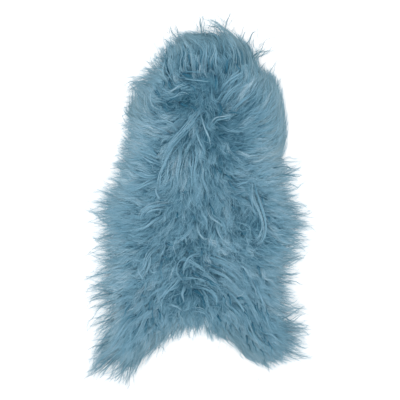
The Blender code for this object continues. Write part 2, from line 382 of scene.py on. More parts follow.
# How the wool lies. heading is in degrees anticlockwise from +X, length is a lock's own, wave is how
# far it swings to each side of its heading, and mess is how far locks stray from each other, both in
# degrees. shade is how much paler the wool's colour is painted than elsewhere, and below 0 darker:
# partly the dye's own tone, and partly painted light and shade, darker in the hollows and creases.
LIE = [
    LieRow(*row)
    for row in (
        ("neck cap, left rim", -0.098, 0.440, 112, 0.075, 14, 9, -1.2),
        ("neck cap, foot of its left rim", -0.108, 0.395, 140, 0.075, 16, 12, 0),
        ("neck cap, left", -0.070, 0.420, 102, 0.085, 16, 9, -0.8),
        ("neck cap, rim, left of middle", -0.045, 0.480, 140, 0.060, 12, 9, -1),
        ("neck cap, left of middle", -0.030, 0.430, 100, 0.085, 18, 8, 0.4),
        ("neck cap, middle", 0.005, 0.420, 94, 0.085, 18, 8, 0.4),
        ("neck cap, rim, middle", 0.010, 0.485, 158, 0.060, 12, 10, -2.7),
        ("neck cap, right", 0.050, 0.430, 98, 0.085, 14, 8, -1),
        ("beside the big lock", 0.065, 0.460, 104, 0.060, 12, 8, -2.7),
        ("big lock, root", 0.105, 0.390, 92, 0.110, 12, 6, -1),
        ("big lock, top", 0.090, 0.455, 122, 0.090, 10, 6, -1),
        ("neck, right rim", 0.135, 0.445, 122, 0.085, 10, 7, -1.9),
        ("neck, right rim, lower", 0.160, 0.390, 108, 0.085, 10, 8, -0.5),
        ("crease, left", -0.075, 0.370, 100, 0.055, 18, 16, 0.7),
        ("crease, middle", -0.010, 0.372, 96, 0.050, 18, 20, 0.4),
        ("crease, right", 0.065, 0.365, 80, 0.050, 18, 20, -1),
        ("behind the crease, left", -0.045, 0.345, 200, 0.055, 26, 24, -0.7),
        ("behind the crease", 0.015, 0.330, 250, 0.050, 28, 24, -1.5),
        ("left shoulder", -0.115, 0.365, 165, 0.080, 14, 10, 0),
        ("left shoulder tuft", -0.160, 0.358, 172, 0.080, 12, 10, 0.1),
        ("left of the whorl, upper", -0.110, 0.335, 110, 0.070, 18, 12, 0),
        ("left of the whorl", -0.105, 0.300, 160, 0.070, 20, 20, -0.7),
        ("left foreleg", -0.150, 0.300, 125, 0.085, 14, 9, 0.5),
        ("left foreleg, rim", -0.190, 0.290, 118, 0.075, 12, 10, 0),
        ("left foreleg, lower", -0.160, 0.262, 152, 0.085, 16, 9, 0.5),
        ("left flank, upper", -0.150, 0.205, 168, 0.085, 20, 9, 1),
        ("left flank, upper rim", -0.205, 0.210, 158, 0.075, 14, 12, 1.5),
        ("left flank, inner", -0.105, 0.215, 180, 0.080, 20, 14, 0.5),
        ("whorl, upper", -0.070, 0.318, 200, 0.055, 30, 24, -1.5),
        ("whorl, left", -0.085, 0.280, 185, 0.055, 32, 26, -2.3),
        ("whorl", -0.045, 0.288, 215, 0.045, 36, 44, -2.5),
        ("whorl, right", -0.005, 0.300, 280, 0.055, 30, 26, -2),
        ("below the whorl", -0.050, 0.245, 200, 0.070, 20, 18, 0.1),
        ("under the pale lock", -0.060, 0.165, 240, 0.060, 28, 22, -1.1),
        ("right of the crease", 0.075, 0.335, 48, 0.080, 16, 14, -0.1),
        ("right shoulder", 0.125, 0.330, 50, 0.095, 12, 7, 0.5),
        ("right shoulder, outer", 0.180, 0.340, 66, 0.090, 10, 7, -0.5),
        ("right shoulder, rim", 0.210, 0.330, 92, 0.085, 8, 7, 0.5),
        ("right foreleg", 0.105, 0.285, 50, 0.090, 16, 9, 0.5),
        ("right foreleg, middle", 0.150, 0.262, 26, 0.095, 14, 8, 0),
        ("right foreleg, outer", 0.200, 0.285, 56, 0.090, 12, 7, 0.5),
        ("right foreleg, rim", 0.232, 0.262, 84, 0.085, 8, 7, 0.7),
        ("dark hollow, upper", 0.025, 0.260, 300, 0.050, 28, 22, -1.8),
        ("dark hollow, right", 0.060, 0.215, 345, 0.055, 28, 22, -2.5),
        ("dark hollow, lower", 0.040, 0.165, 300, 0.055, 28, 22, -2.3),
        ("right flank, inner", 0.090, 0.215, 12, 0.080, 18, 14, -1.8),
        ("right flank, upper", 0.140, 0.200, 10, 0.095, 16, 9, -0.7),
        ("right flank, outer", 0.195, 0.210, 26, 0.090, 14, 8, 0.8),
        ("right flank, rim", 0.237, 0.195, 72, 0.085, 10, 9, 0.8),
        ("right flank, lower", 0.150, 0.150, 8, 0.095, 18, 9, 0.2),
        ("right notch", 0.215, 0.130, 18, 0.075, 14, 11, 1),
        ("right waist", 0.150, 0.095, 16, 0.090, 16, 11, 0),
        ("right waist, rim", 0.235, 0.070, 14, 0.085, 12, 11, 1),
        ("back, upper left", -0.020, 0.205, 250, 0.075, 24, 16, -0.3),
        ("back, upper", 0.010, 0.180, 275, 0.080, 20, 18, -1.9),
        ("back, left", -0.060, 0.100, 262, 0.085, 16, 10, 1),
        ("back, middle", 0.000, 0.100, 268, 0.085, 22, 12, -0.5),
        ("back, right", 0.055, 0.090, 285, 0.070, 26, 18, -1.3),
        ("left waist, upper", -0.150, 0.135, 146, 0.080, 18, 12, 0),
        ("left waist, rim", -0.215, 0.105, 158, 0.085, 14, 13, 1.2),
        ("left waist", -0.160, 0.060, 178, 0.085, 24, 12, -0.1),
        ("left waist, lower rim", -0.245, 0.050, 170, 0.085, 14, 13, 0.5),
        ("left flank, middle", -0.120, 0.020, 200, 0.085, 24, 15, -0.5),
        ("left flank, outer", -0.195, 0.000, 180, 0.090, 16, 12, 0),
        ("left bump, rim", -0.265, -0.030, 172, 0.085, 12, 12, 0.5),
        ("middle, left", -0.070, -0.010, 255, 0.075, 28, 18, -0.9),
        ("middle", 0.000, -0.030, 270, 0.070, 30, 20, -0.7),
        ("middle, right", 0.055, -0.020, 285, 0.065, 30, 20, -0.2),
        ("above the curl", 0.110, 0.040, 335, 0.065, 26, 18, -0.5),
        ("right of the curl", 0.205, 0.010, 355, 0.085, 14, 12, 0),
        ("inside the curl", 0.120, -0.060, 230, 0.045, 34, 34, -1),
        ("left of the curl", 0.075, -0.090, 290, 0.060, 32, 22, -0.2),
        ("right bump, rim", 0.270, -0.050, 358, 0.085, 12, 12, 0.5),
        ("left flank, lower", -0.190, -0.100, 184, 0.085, 16, 13, -0.5),
        ("left flank, lower rim", -0.265, -0.120, 180, 0.085, 12, 12, 1.3),
        ("rump, upper left", -0.060, -0.100, 232, 0.070, 36, 18, -0.5),
        ("rump, left", -0.145, -0.165, 232, 0.090, 32, 14, -0.9),
        ("rump, upper", 0.000, -0.130, 295, 0.060, 38, 28, -1),
        ("rump, upper right", 0.060, -0.170, 332, 0.090, 36, 15, 0.7),
        ("below the curl", 0.140, -0.150, 330, 0.090, 26, 16, -0.7),
        ("right flank, below the bump", 0.205, -0.130, 345, 0.085, 16, 13, -0.8),
        ("right hip, rim above", 0.262, -0.140, 358, 0.085, 12, 12, 1),
        ("left hip", -0.195, -0.215, 200, 0.080, 22, 13, 0),
        ("left hip, rim", -0.262, -0.240, 186, 0.085, 12, 12, 1.2),
        ("rump, lower left", -0.075, -0.215, 232, 0.085, 34, 16, -0.7),
        ("rump, middle", -0.030, -0.200, 265, 0.060, 38, 28, -0.8),
        ("rump", 0.015, -0.235, 322, 0.085, 34, 16, -0.4),
        ("rump, right", 0.090, -0.225, 320, 0.105, 34, 12, -0.1),
        ("right hip", 0.160, -0.240, 306, 0.110, 30, 12, -0.2),
        ("right hip, outer", 0.215, -0.240, 345, 0.085, 16, 12, 0.1),
        ("right hip, rim", 0.250, -0.230, 356, 0.085, 12, 12, 1.3),
        ("tail, upper left", -0.070, -0.290, 245, 0.080, 32, 14, -1.8),
        ("tail, upper", 0.000, -0.290, 285, 0.070, 34, 18, -1.7),
        ("tail, left", -0.060, -0.345, 256, 0.055, 16, 14, 0.6),
        ("tail", -0.010, -0.335, 266, 0.055, 14, 14, -0.5),
        ("tail, right", 0.050, -0.345, 298, 0.060, 16, 12, -0.5),
        ("left hind leg, upper", -0.150, -0.290, 234, 0.100, 30, 12, 0),
        ("left hind leg, outer rim", -0.268, -0.330, 212, 0.085, 14, 12, 1.3),
        ("left hind leg", -0.200, -0.360, 238, 0.110, 24, 10, -0.3),
        ("left hind leg, inner rim", -0.135, -0.390, 246, 0.080, 12, 10, 0.3),
        ("left hind leg, outer foot", -0.262, -0.420, 226, 0.090, 14, 12, 0.6),
        ("left hind leg, inner foot", -0.210, -0.445, 250, 0.090, 14, 12, -0.3),
        ("right hind leg, upper", 0.120, -0.300, 308, 0.110, 38, 12, -1),
        ("right hind leg", 0.170, -0.350, 302, 0.110, 34, 10, -1),
        ("right hind leg, inner rim", 0.105, -0.385, 308, 0.080, 10, 9, -0.1),
        ("right hind leg, outer", 0.225, -0.330, 332, 0.085, 14, 11, -0.2),
        ("right hind leg, outer rim", 0.258, -0.310, 2, 0.085, 14, 12, 0.8),
        ("right hind leg, corner", 0.262, -0.385, 346, 0.085, 14, 12, -0.3),
        ("right hind leg, foot", 0.205, -0.425, 318, 0.100, 26, 10, 0),
    )
]

PATH_STEPS = 10
RIM_TURN = 0.035  # how far in from the rim the wool begins to turn along it
SMOOTH_OVER = 0.020  # tips that stand out this far or more point straight out of the rim

lie_places = np.array([(row.x, row.y) for row in LIE])
lie_headings = np.radians([row.heading for row in LIE])
lie_values = np.column_stack([np.cos(lie_headings), np.sin(lie_headings), [row[4:] for row in LIE]])


def lie_at(points):
    """The heading in radians, length, wave, mess and shade at each point, from the nearest rows."""
    apart = np.linalg.norm(points[:, None] - lie_places[None], axis=2)
    weight = 1.0 / (apart**3 + 1e-6)  # the small number keeps it finite on top of a row
    values = (weight @ lie_values / weight.sum(axis=1, keepdims=True)).T
    return np.arctan2(values[1], values[0]), *values[2:]


ROW_PITCH = 0.866  # between the rows of a triangular grid, in times its pitch
LOOSENED = 0.42  # how far each place strays from the grid, in times its pitch


def scattered(ring, pitch, dice):
    """Places of a loosened triangular grid that lie inside the ring."""
    low_corner = ring.min(axis=0)
    across, along = ring.max(axis=0) - low_corner
    rows = int(along / (ROW_PITCH * pitch)) + 2
    columns = int(across / pitch) + 2
    row, column = np.mgrid[0:rows, 0:columns].reshape(2, -1)
    points = low_corner + pitch * np.column_stack([column - 0.5 * (row % 2), ROW_PITCH * row])
    points += dice.uniform(-LOOSENED, LOOSENED, points.shape) * pitch
    return points[inside(points, ring)]


def nearest(points, others, at_once=400):
    """For each point, which of the others is nearest."""
    parts = np.array_split(points, max(1, len(points) // at_once))
    found = [np.linalg.norm(part[:, None] - others[None], axis=2).argmin(axis=1) for part in parts]
    return np.concatenate(found)


def past_rim(places):
    """How far each place lies past the wool's edge, below 0 inside it, and the nearest edge point."""
    flat = places.reshape(-1, 2)
    near = nearest(flat, wool_ring)
    past = np.einsum("ij,ij->i", flat - wool_ring[near], wool_out[near])
    return past.reshape(places.shape[:-1]), near.reshape(places.shape[:-1])


def turned_along_rim(places, heading):
    """Turns the wool to run along the rim where its tips don't stand out past it."""
    past, near = past_rim(places)
    rim_heading = np.arctan2(wool_out[near, 0], -wool_out[near, 1])
    rim_heading += np.where(np.cos(heading - rim_heading) < 0.0, np.pi, 0.0)
    smooth_rim = np.clip(1.0 - wool_over[near] / SMOOTH_OVER, 0.0, 1.0)
    share = smooth_rim * np.clip(1.0 + past / RIM_TURN, 0.0, 1.0)
    away = np.angle(np.exp(1j * (rim_heading - heading)))
    return heading + share * away


def paths(roots, length, turn, bend, swing, wavelength, phase):
    """Follows the way the wool lies from each root, bending to one side and swinging to both sides.

    turn, bend, swing and phase are in radians. It bends and swings most towards its tip.
    """
    places = [roots]
    for step in range(PATH_STEPS):
        t = (step + 0.5) / PATH_STEPS
        wave = bend * t**1.5 + (0.5 + t) * swing * np.sin(2 * np.pi * t * length / wavelength + phase)
        heading = turned_along_rim(places[-1], lie_at(places[-1])[0] + turn + wave)
        run = np.column_stack([np.cos(heading), np.sin(heading)])
        places.append(places[-1] + (length / PATH_STEPS)[:, None] * run)
    return np.stack(places, axis=1)


def along_path(path, share):
    """The path's values at a share of its length, for rows of shares."""
    steps = path.shape[1] - 1
    place = np.clip(share * steps, 0, steps - 1e-6)
    i = place.astype(int)
    rows = np.arange(len(path))[:, None]
    before, after = path[rows, i], path[rows, i + 1]
    rest = (place - i).reshape(place.shape + (1,) * (path.ndim - 2))
    return before * (1 - rest) + after * rest


TINTS = 32  # steps of tint from deep to pale
FADES = 4  # and of fading from fresh to faded, for each of them
STRAND_FLOOR = 0.0004  # no strand lies lower than this
STRAND_STRIP = (0.2, 0.8)  # how far across its own strip of the map a strand's two edges lie


def ribbon_mesh(name, centres, half_width, roll, tint, fade):
    """One flat strand along each row of centres, narrowing to a point. tint and fade pick its dye.

    The map is cut into strips, one for each tint and fade, with roots at the foot and tips at the top.
    """
    strands, rings = centres.shape[:2]
    run = np.gradient(centres, axis=1)
    run /= np.linalg.norm(run, axis=2, keepdims=True) + 1e-12
    side = np.cross(run, (0.0, 0.0, 1.0))
    side /= np.linalg.norm(side, axis=2, keepdims=True) + 1e-12
    above = np.cross(side, run)
    across = np.cos(roll)[..., None] * side + np.sin(roll)[..., None] * above
    edge = across * half_width[..., None]
    pairs = np.stack([centres - edge, centres + edge], axis=2)[:, :-1].reshape(strands, -1, 3)
    points = np.concatenate([pairs, centres[:, -1:]], axis=1)
    points[..., 2] = np.maximum(points[..., 2], STRAND_FLOOR)

    # Quads run up each strand, and a triangle closes its tip.
    per_strand = points.shape[1]
    left = 2 * np.arange(rings - 2)
    quads = np.stack([left, left + 1, left + 3, left + 2], axis=1)
    base = per_strand * np.arange(strands)
    quad_corners = base[:, None, None] + quads[None]
    tips = base[:, None] + np.array([per_strand - 3, per_strand - 2, per_strand - 1])
    corners = np.concatenate([quad_corners.reshape(strands, -1), tips], axis=1).ravel()
    sizes = np.tile(np.r_[np.full(rings - 2, 4), 3], strands)

    mesh = bpy.data.meshes.new(name)
    mesh.vertices.add(strands * per_strand)
    mesh.vertices.foreach_set("co", points.astype(np.float32).ravel())
    mesh.loops.add(len(corners))
    mesh.loops.foreach_set("vertex_index", corners.astype(np.int32))
    mesh.polygons.add(len(sizes))
    mesh.polygons.foreach_set("loop_start", np.r_[0, np.cumsum(sizes)[:-1]].astype(np.int32))
    mesh.update(calc_edges=True)

    tint_strip = np.floor(np.clip(tint, 0.0, 0.999) * TINTS)
    fade_strip = np.floor(np.clip(fade, 0.0, 0.999) * FADES)
    strip = tint_strip + TINTS * fade_strip
    along = np.repeat(np.arange(rings - 1) / (rings - 1), 2)
    u = np.tile(STRAND_STRIP, rings - 1)
    u = np.append(u, 0.5)[None] + strip[:, None]
    v = np.tile(np.append(along, 1.0), (strands, 1))
    uv = np.stack([u / (TINTS * FADES), 0.01 + 0.98 * v], axis=2).reshape(-1, 2)
    layer = mesh.uv_layers.new(name="OFBake")
    layer.data.foreach_set("uv", uv[corners].astype(np.float32).ravel())
    mesh.shade_smooth()
    return mesh


# The long wool's colour: the dye's ramps, picked by tints that also carry painted light and shade, with
# painted shade at the roots.
dyed_and_shaded_wool = bpy.data.materials.new("dyed long wool")
dyed_and_shaded_wool.use_nodes = True
wool_nodes = dyed_and_shaded_wool.node_tree.nodes
wool_links = dyed_and_shaded_wool.node_tree.links
wool_shader = wool_nodes["Principled BSDF"]
wool_shader.inputs["Roughness"].default_value = 0.70
wool_shader.inputs["Specular IOR Level"].default_value = 0.15
wool_shader.inputs["Sheen Weight"].default_value = 0.12
wool_shader.inputs["Sheen Roughness"].default_value = 0.5
wool_map = wool_nodes.new("ShaderNodeUVMap")
wool_map.uv_map = "OFBake"
wool_split = wool_nodes.new("ShaderNodeSeparateXYZ")
wool_links.new(wool_map.outputs["UV"], wool_split.inputs["Vector"])


def wool_math(operation, first, second=0.0):
    """One step of arithmetic on the wool's map. first is an output of a node, and second a number."""
    step = wool_nodes.new("ShaderNodeMath")
    step.operation = operation
    wool_links.new(first, step.inputs[0])
    step.inputs[1].default_value = second
    return step.outputs[0]


def wool_ramp(fac, *stops):
    """A blend between colours, each with its position from 0 to 1."""
    ramp = wool_nodes.new("ShaderNodeValToRGB")
    for _ in stops[2:]:
        ramp.color_ramp.elements.new(1.0)
    for element, (position, color) in zip(ramp.color_ramp.elements, stops):
        element.position = position
        element.color = (*color, 1.0)
    wool_links.new(fac, ramp.inputs["Fac"])
    return ramp.outputs["Color"]


def wool_mix(blend, factor, first, second):
    """A mix of two colours that are outputs of nodes. Its inputs 6 and 7 and its output 2 are colours."""
    mix = wool_nodes.new("ShaderNodeMix")
    mix.data_type = "RGBA"
    mix.blend_type = blend
    mix.inputs["Factor"].default_value = factor
    wool_links.new(first, mix.inputs[6])
    wool_links.new(second, mix.inputs[7])
    return mix


faded_strips = wool_math("MULTIPLY", wool_split.outputs["X"], FADES)
tint_of_strand = wool_math("FRACT", faded_strips)
fade_of_strand = wool_math("DIVIDE", wool_math("FLOOR", faded_strips), FADES - 1)
fresh_dye = wool_ramp(
    tint_of_strand,
    (0.0, (0.035, 0.180, 0.280)),
    (0.5, (0.252, 0.498, 0.638)),
    (1.0, (0.560, 0.750, 0.840)),
)
faded_dye = wool_ramp(
    tint_of_strand,
    (0.0, (0.065, 0.165, 0.215)),
    (0.5, (0.250, 0.415, 0.495)),
    (1.0, (0.540, 0.690, 0.750)),
)
dye = wool_mix("MIX", 0.0, fresh_dye, faded_dye)
wool_links.new(fade_of_strand, dye.inputs["Factor"])
# A strand's root is painted darker than its tip: partly the dye's own colour, and partly painted
# shade deep in the pile. It is less so where the dye has faded.
root_shade_and_dye = wool_ramp(wool_split.outputs["Y"], (0.0, (0.10, 0.32, 0.42)), (0.6, (1.0, 1.0, 1.0)))
root_shaded_dye = wool_mix("MULTIPLY", 1.0, dye.outputs[2], root_shade_and_dye)
root_shade_share = wool_math("ADD", wool_math("MULTIPLY", fade_of_strand, -0.6), 1.0)
wool_links.new(root_shade_share, root_shaded_dye.inputs["Factor"])
wool_links.new(root_shaded_dye.outputs[2], wool_shader.inputs["Base Color"])

TUFT_PITCH = 0.016  # tufts are the large locks that show from a step away
TUFT_LENGTHS = (0.85, 1.2)  # shortest and longest, in times length
TUFT_STRAY = 0.7  # how far tufts turn from each other, in times mess
CALM_MESS = 18.0  # up to this mess the wool lies evenly, and at twice this it is all curls
STRAIGHT_MESS = 10.0  # past this mess tufts bend aside too
TUFT_BEND = 3.0  # by this many degrees for each degree of mess past it
EVEN_WAVE = 20.0  # up to this wave a tuft swings evenly
WAVY_WAVE = 34.0  # and from this one on it is all waves
TUFT_SWINGS = (0.8, 1.8)  # least and most, in times wave
WAVY_SWING = 0.4  # wavy and curly tufts swing further by this share
TUFT_WAVELENGTHS = (0.042, 0.060)
TIGHT_WAVES = 0.3  # messy wool's waves are shorter by up to this share
TIGHT_MESS = 40.0  # and by all of it from this mess on
IN_STEP = 0.035  # tufts nearer than this wave together
OUT_OF_STEP = 2.0  # but for this many degrees for each degree of mess
TUFT_DEPTH = 0.30  # a tuft may lie this far below the top, as a share of the wool's depth
CURLY_DEPTH = 0.22  # and further by this where the wool is curly
WAVY_DEPTH = 0.4  # or by this share of that where it is wavy
CLUMPED = 0.090  # a tuft that grows nearer than this to a feathered rim hangs out as one pointed clump
CLUMPED_OVER = 0.035  # where the longest tips stand out at least this far
LONGER_AT_RIM = 0.60  # and it is longer by this share
HANGING_DRAWN = 0.4  # how far such tufts draw together, from 0 to 1
CURLY_DRAWN = 0.8
WAVY_DRAWN = 0.9
LOOSE_PULL = (0.05, 0.60)  # the share by which a loose tuft's locks close in on it by their tips
DRAWN_PULL = (0.5, 1.0)  # and a drawn tuft's
TIP_LUCK = 0.9  # how much further some tufts hang out than others, as a power of two

wool_dice = np.random.default_rng(5)
tuft_roots = scattered(root_ring, TUFT_PITCH, wool_dice)
tufts = len(tuft_roots)
_, tuft_length, tuft_wave, tuft_mess, _ = lie_at(tuft_roots)
tuft_length = tuft_length * wool_dice.uniform(*TUFT_LENGTHS, tufts)
tuft_turn = np.radians(tuft_mess) * wool_dice.normal(0.0, TUFT_STRAY, tufts)
tuft_curly = np.clip((tuft_mess - CALM_MESS) / CALM_MESS, 0.0, 1.0)
tuft_bend = np.radians(TUFT_BEND * np.maximum(tuft_mess - STRAIGHT_MESS, 0.0))
tuft_bend = tuft_bend * wool_dice.normal(0.0, 1.0, tufts)
tuft_wavy = np.clip((tuft_wave - EVEN_WAVE) / (WAVY_WAVE - EVEN_WAVE), 0.0, 1.0)
tuft_swing = np.radians(tuft_wave) * wool_dice.uniform(*TUFT_SWINGS, tufts)
tuft_swing = tuft_swing * (1.0 + WAVY_SWING * np.maximum(tuft_curly, tuft_wavy))
tuft_wavelength = wool_dice.uniform(*TUFT_WAVELENGTHS, tufts)
tuft_wavelength = tuft_wavelength * (1.0 - TIGHT_WAVES * np.clip(tuft_mess / TIGHT_MESS, 0.0, 1.0))
tuft_apart = np.linalg.norm(tuft_roots[:, None] - tuft_roots[None], axis=2)
tuft_phase = np.exp(1j * wool_dice.uniform(0.0, 2 * np.pi, tufts))
tuft_phase = np.angle(np.exp(-((tuft_apart / IN_STEP) ** 2)) @ tuft_phase)
tuft_phase += np.radians(OUT_OF_STEP * tuft_mess) * wool_dice.normal(0.0, 1.0, tufts)
tuft_depth = TUFT_DEPTH + CURLY_DEPTH * np.maximum(tuft_curly, WAVY_DEPTH * tuft_wavy)
tuft_level = 1.0 - tuft_depth * wool_dice.uniform(0.0, 1.0, tufts)
tuft_past, tuft_near = past_rim(tuft_roots)
tuft_hangs = np.clip(1.0 + tuft_past / CLUMPED, 0.0, 1.0)
tuft_hangs = tuft_hangs * np.clip(wool_over[tuft_near] / CLUMPED_OVER, 0.0, 1.0)
tuft_drawn = np.maximum(HANGING_DRAWN * tuft_hangs, CURLY_DRAWN * tuft_curly)
tuft_drawn = np.maximum(tuft_drawn, WAVY_DRAWN * tuft_wavy)
tuft_pull = wool_dice.uniform(*LOOSE_PULL, tufts) * (1.0 - tuft_drawn)
tuft_pull = tuft_pull + wool_dice.uniform(*DRAWN_PULL, tufts) * tuft_drawn
tuft_tips = 2.0 ** (TIP_LUCK * wool_dice.uniform(-1.0, 1.0, tufts))
tuft_length *= 1.0 + LONGER_AT_RIM * tuft_hangs
tuft_tint = wool_dice.normal(0.0, 1.0, tufts)
tuft_paths = paths(
    tuft_roots, tuft_length, tuft_turn, tuft_bend, tuft_swing, tuft_wavelength, tuft_phase
)

Locks = namedtuple("Locks", "path level tint fade rough tips alike")
# path runs from root to tip. level is how high a lock lies, as a share of the wool's depth. tint and
# fade pick its colour, from 0 to 1, and tint also carries painted light and shade. rough is how far
# its strands stray, and alike how far they end together, from 0 to 1. The lower tips is, the less
# likely they are to hang out past the rim.
SHADE_AT = 6  # the step of a lock's path that lies where its shade is read
FADE_DEPTH = 0.070  # the dye is fresh this far in from a smooth rim, and faded at the rim
FEATHERED_FADE = 0.5  # the share of this fading at a feathered rim
LOCK_PITCH = 0.0070  # each tuft is a few locks
LOCK_LENGTHS = (0.8, 1.25)  # in times its tuft's
LOCK_BENDS = (0.6, 1.4)
LOCK_SWINGS = (0.7, 1.4)
LOCK_STRAY = 3.0  # degrees that locks turn from their tuft
MESSY_STRAY = 0.4  # and this many more for each degree of mess
LOCK_OUT_OF_STEP = 0.5  # radians
OUTER_DROP = 0.26  # locks further out in a tuft lie lower
LOCK_LEVELS = (-0.05, 0.07)
LOCK_TINT = 0.515  # of a lock at this level where shade is 0
LOCK_LEVEL = 0.82
SHADE_TINT = 0.17  # how far each of these moves it
TUFT_TINT = 0.10
# Painted shade: a lock gets a darker tint by this for each share of depth it lies lower.
LEVEL_SHADE_TINT = 0.6
TINT_LUCK = 0.05
FADE_LUCK = 0.15
ROUGH = (0.45, 1.15)  # least and most
ROUGH_MESS = 1.2 * CALM_MESS  # wool with this much mess has a rough of 1
HANGING_ALIKE = 0.12  # of a tuft that hangs out past the rim


def faded_at(places):
    """How faded the dye is, from 0 to 1: most at a smooth rim, where the wool has seen the most light."""
    past, near = past_rim(places)
    at_rim = np.clip(1.6 - wool_over[near] / SMOOTH_OVER, FEATHERED_FADE, 1.0)
    return np.clip(1.0 + past / FADE_DEPTH, 0.0, 1.0) * at_rim


def grow_locks(roots, dice):
    """The locks that grow from the roots, each led by the nearest tuft."""
    count = len(roots)
    of = nearest(roots, tuft_roots)
    mess = lie_at(roots)[3]
    own_path = paths(
        roots,
        tuft_length[of] * dice.uniform(*LOCK_LENGTHS, count),
        tuft_turn[of] + np.radians(LOCK_STRAY + MESSY_STRAY * mess) * dice.normal(0.0, 1.0, count),
        tuft_bend[of] * dice.uniform(*LOCK_BENDS, count),
        tuft_swing[of] * dice.uniform(*LOCK_SWINGS, count),
        tuft_wavelength[of],
        tuft_phase[of] + dice.normal(0.0, LOCK_OUT_OF_STEP, count),
    )
    towards_tip = np.linspace(0.0, 1.0, PATH_STEPS + 1) ** 1.3
    pull = tuft_pull[of][:, None, None] * towards_tip[None, :, None]
    path = own_path + (tuft_paths[of] - own_path) * pull
    shade = lie_at(path[:, SHADE_AT])[4]
    fade = faded_at(path[:, SHADE_AT]) + dice.uniform(-FADE_LUCK, FADE_LUCK, count)
    off_centre = np.linalg.norm(roots - tuft_roots[of], axis=1) / TUFT_PITCH
    level = tuft_level[of] - OUTER_DROP * off_centre + dice.uniform(*LOCK_LEVELS, count)
    # Painted light and shade: the tint is paler or darker by the shade of the place where the lock lies.
    tint = LOCK_TINT + SHADE_TINT * shade + TUFT_TINT * tuft_tint[of]
    # Painted shade: the lower the lock lies in the pile, the darker its tint.
    tint = tint + LEVEL_SHADE_TINT * (level - LOCK_LEVEL)
    tint += TINT_LUCK * dice.normal(0.0, 1.0, count)
    rough = np.clip(mess / ROUGH_MESS, *ROUGH)
    return Locks(path, level, tint, fade, rough, tuft_tips[of], HANGING_ALIKE * tuft_hangs[of])


Thinning = namedtuple("Thinning", "furthest inwards long_tips")
# How the tips thin out towards a rim. The longest stand out past it by furthest, and the shortest end
# further in than those by inwards, both in times over. The lower long_tips is, the fewer are long.
LONG_WOOL_THINNING = Thinning(furthest=0.80, inwards=1.75, long_tips=0.42)
SHORTEST = 0.008  # a strand rooted near the rim still stands out this far from its root


def within_rim(past, over, thinning, chance):
    """The share of each path at which it reaches its own end, past the rim or short of it."""
    allowed = over * (thinning.furthest - thinning.inwards * chance**thinning.long_tips)
    allowed = np.maximum(allowed, past[:, 0] + SHORTEST)
    beyond = past > allowed[:, None]
    first = np.maximum(beyond.argmax(axis=1), 1)
    rows = np.arange(len(past))
    before, after = past[rows, first - 1], past[rows, first]
    share = (first - 1 + (allowed - before) / np.maximum(after - before, 1e-6)) / PATH_STEPS
    return np.where(beyond.any(axis=1), np.clip(share, 0.0, 1.0), 1.0)


FURTHEST = (0.358, 0.575)  # no hair lies further out than this, in x and in y
SHORTER = 0.4  # a strand may end this share of its path short
FINE_TIPS = 0.45  # wool that stands out past a feathered rim is thinner by this share
DRAWN_IN = (0.1, 0.95)  # how far a strand closes in on the middle of its lock by its tip
WOBBLE = 0.0012  # how far a strand swings to each side of its own path
WOBBLES = 2.2  # and how often
RISE_SHARE = 0.32  # the share of its path by which a strand has risen to its lock's level
STRAND_LEVEL = 0.035  # how far strands lie above or below their lock, as a share of the wool's depth
STRAND_LIFT = 0.0012  # and how far their tips stray up or down
STRAND_TINT = 0.035
STRAND_WIDTHS = (0.6, 1.3)  # narrowest and widest, in times width
TIP_WIDTH = 0.15  # just before its point, in times its width at the root
LOCK_ROLL = 0.2  # radians by which all the strands of a lock lean to one side
STRAND_ROLL = 0.1  # and each of them by itself
TWIST = 0.12  # and its tip
MOST_ROLL = 1.3


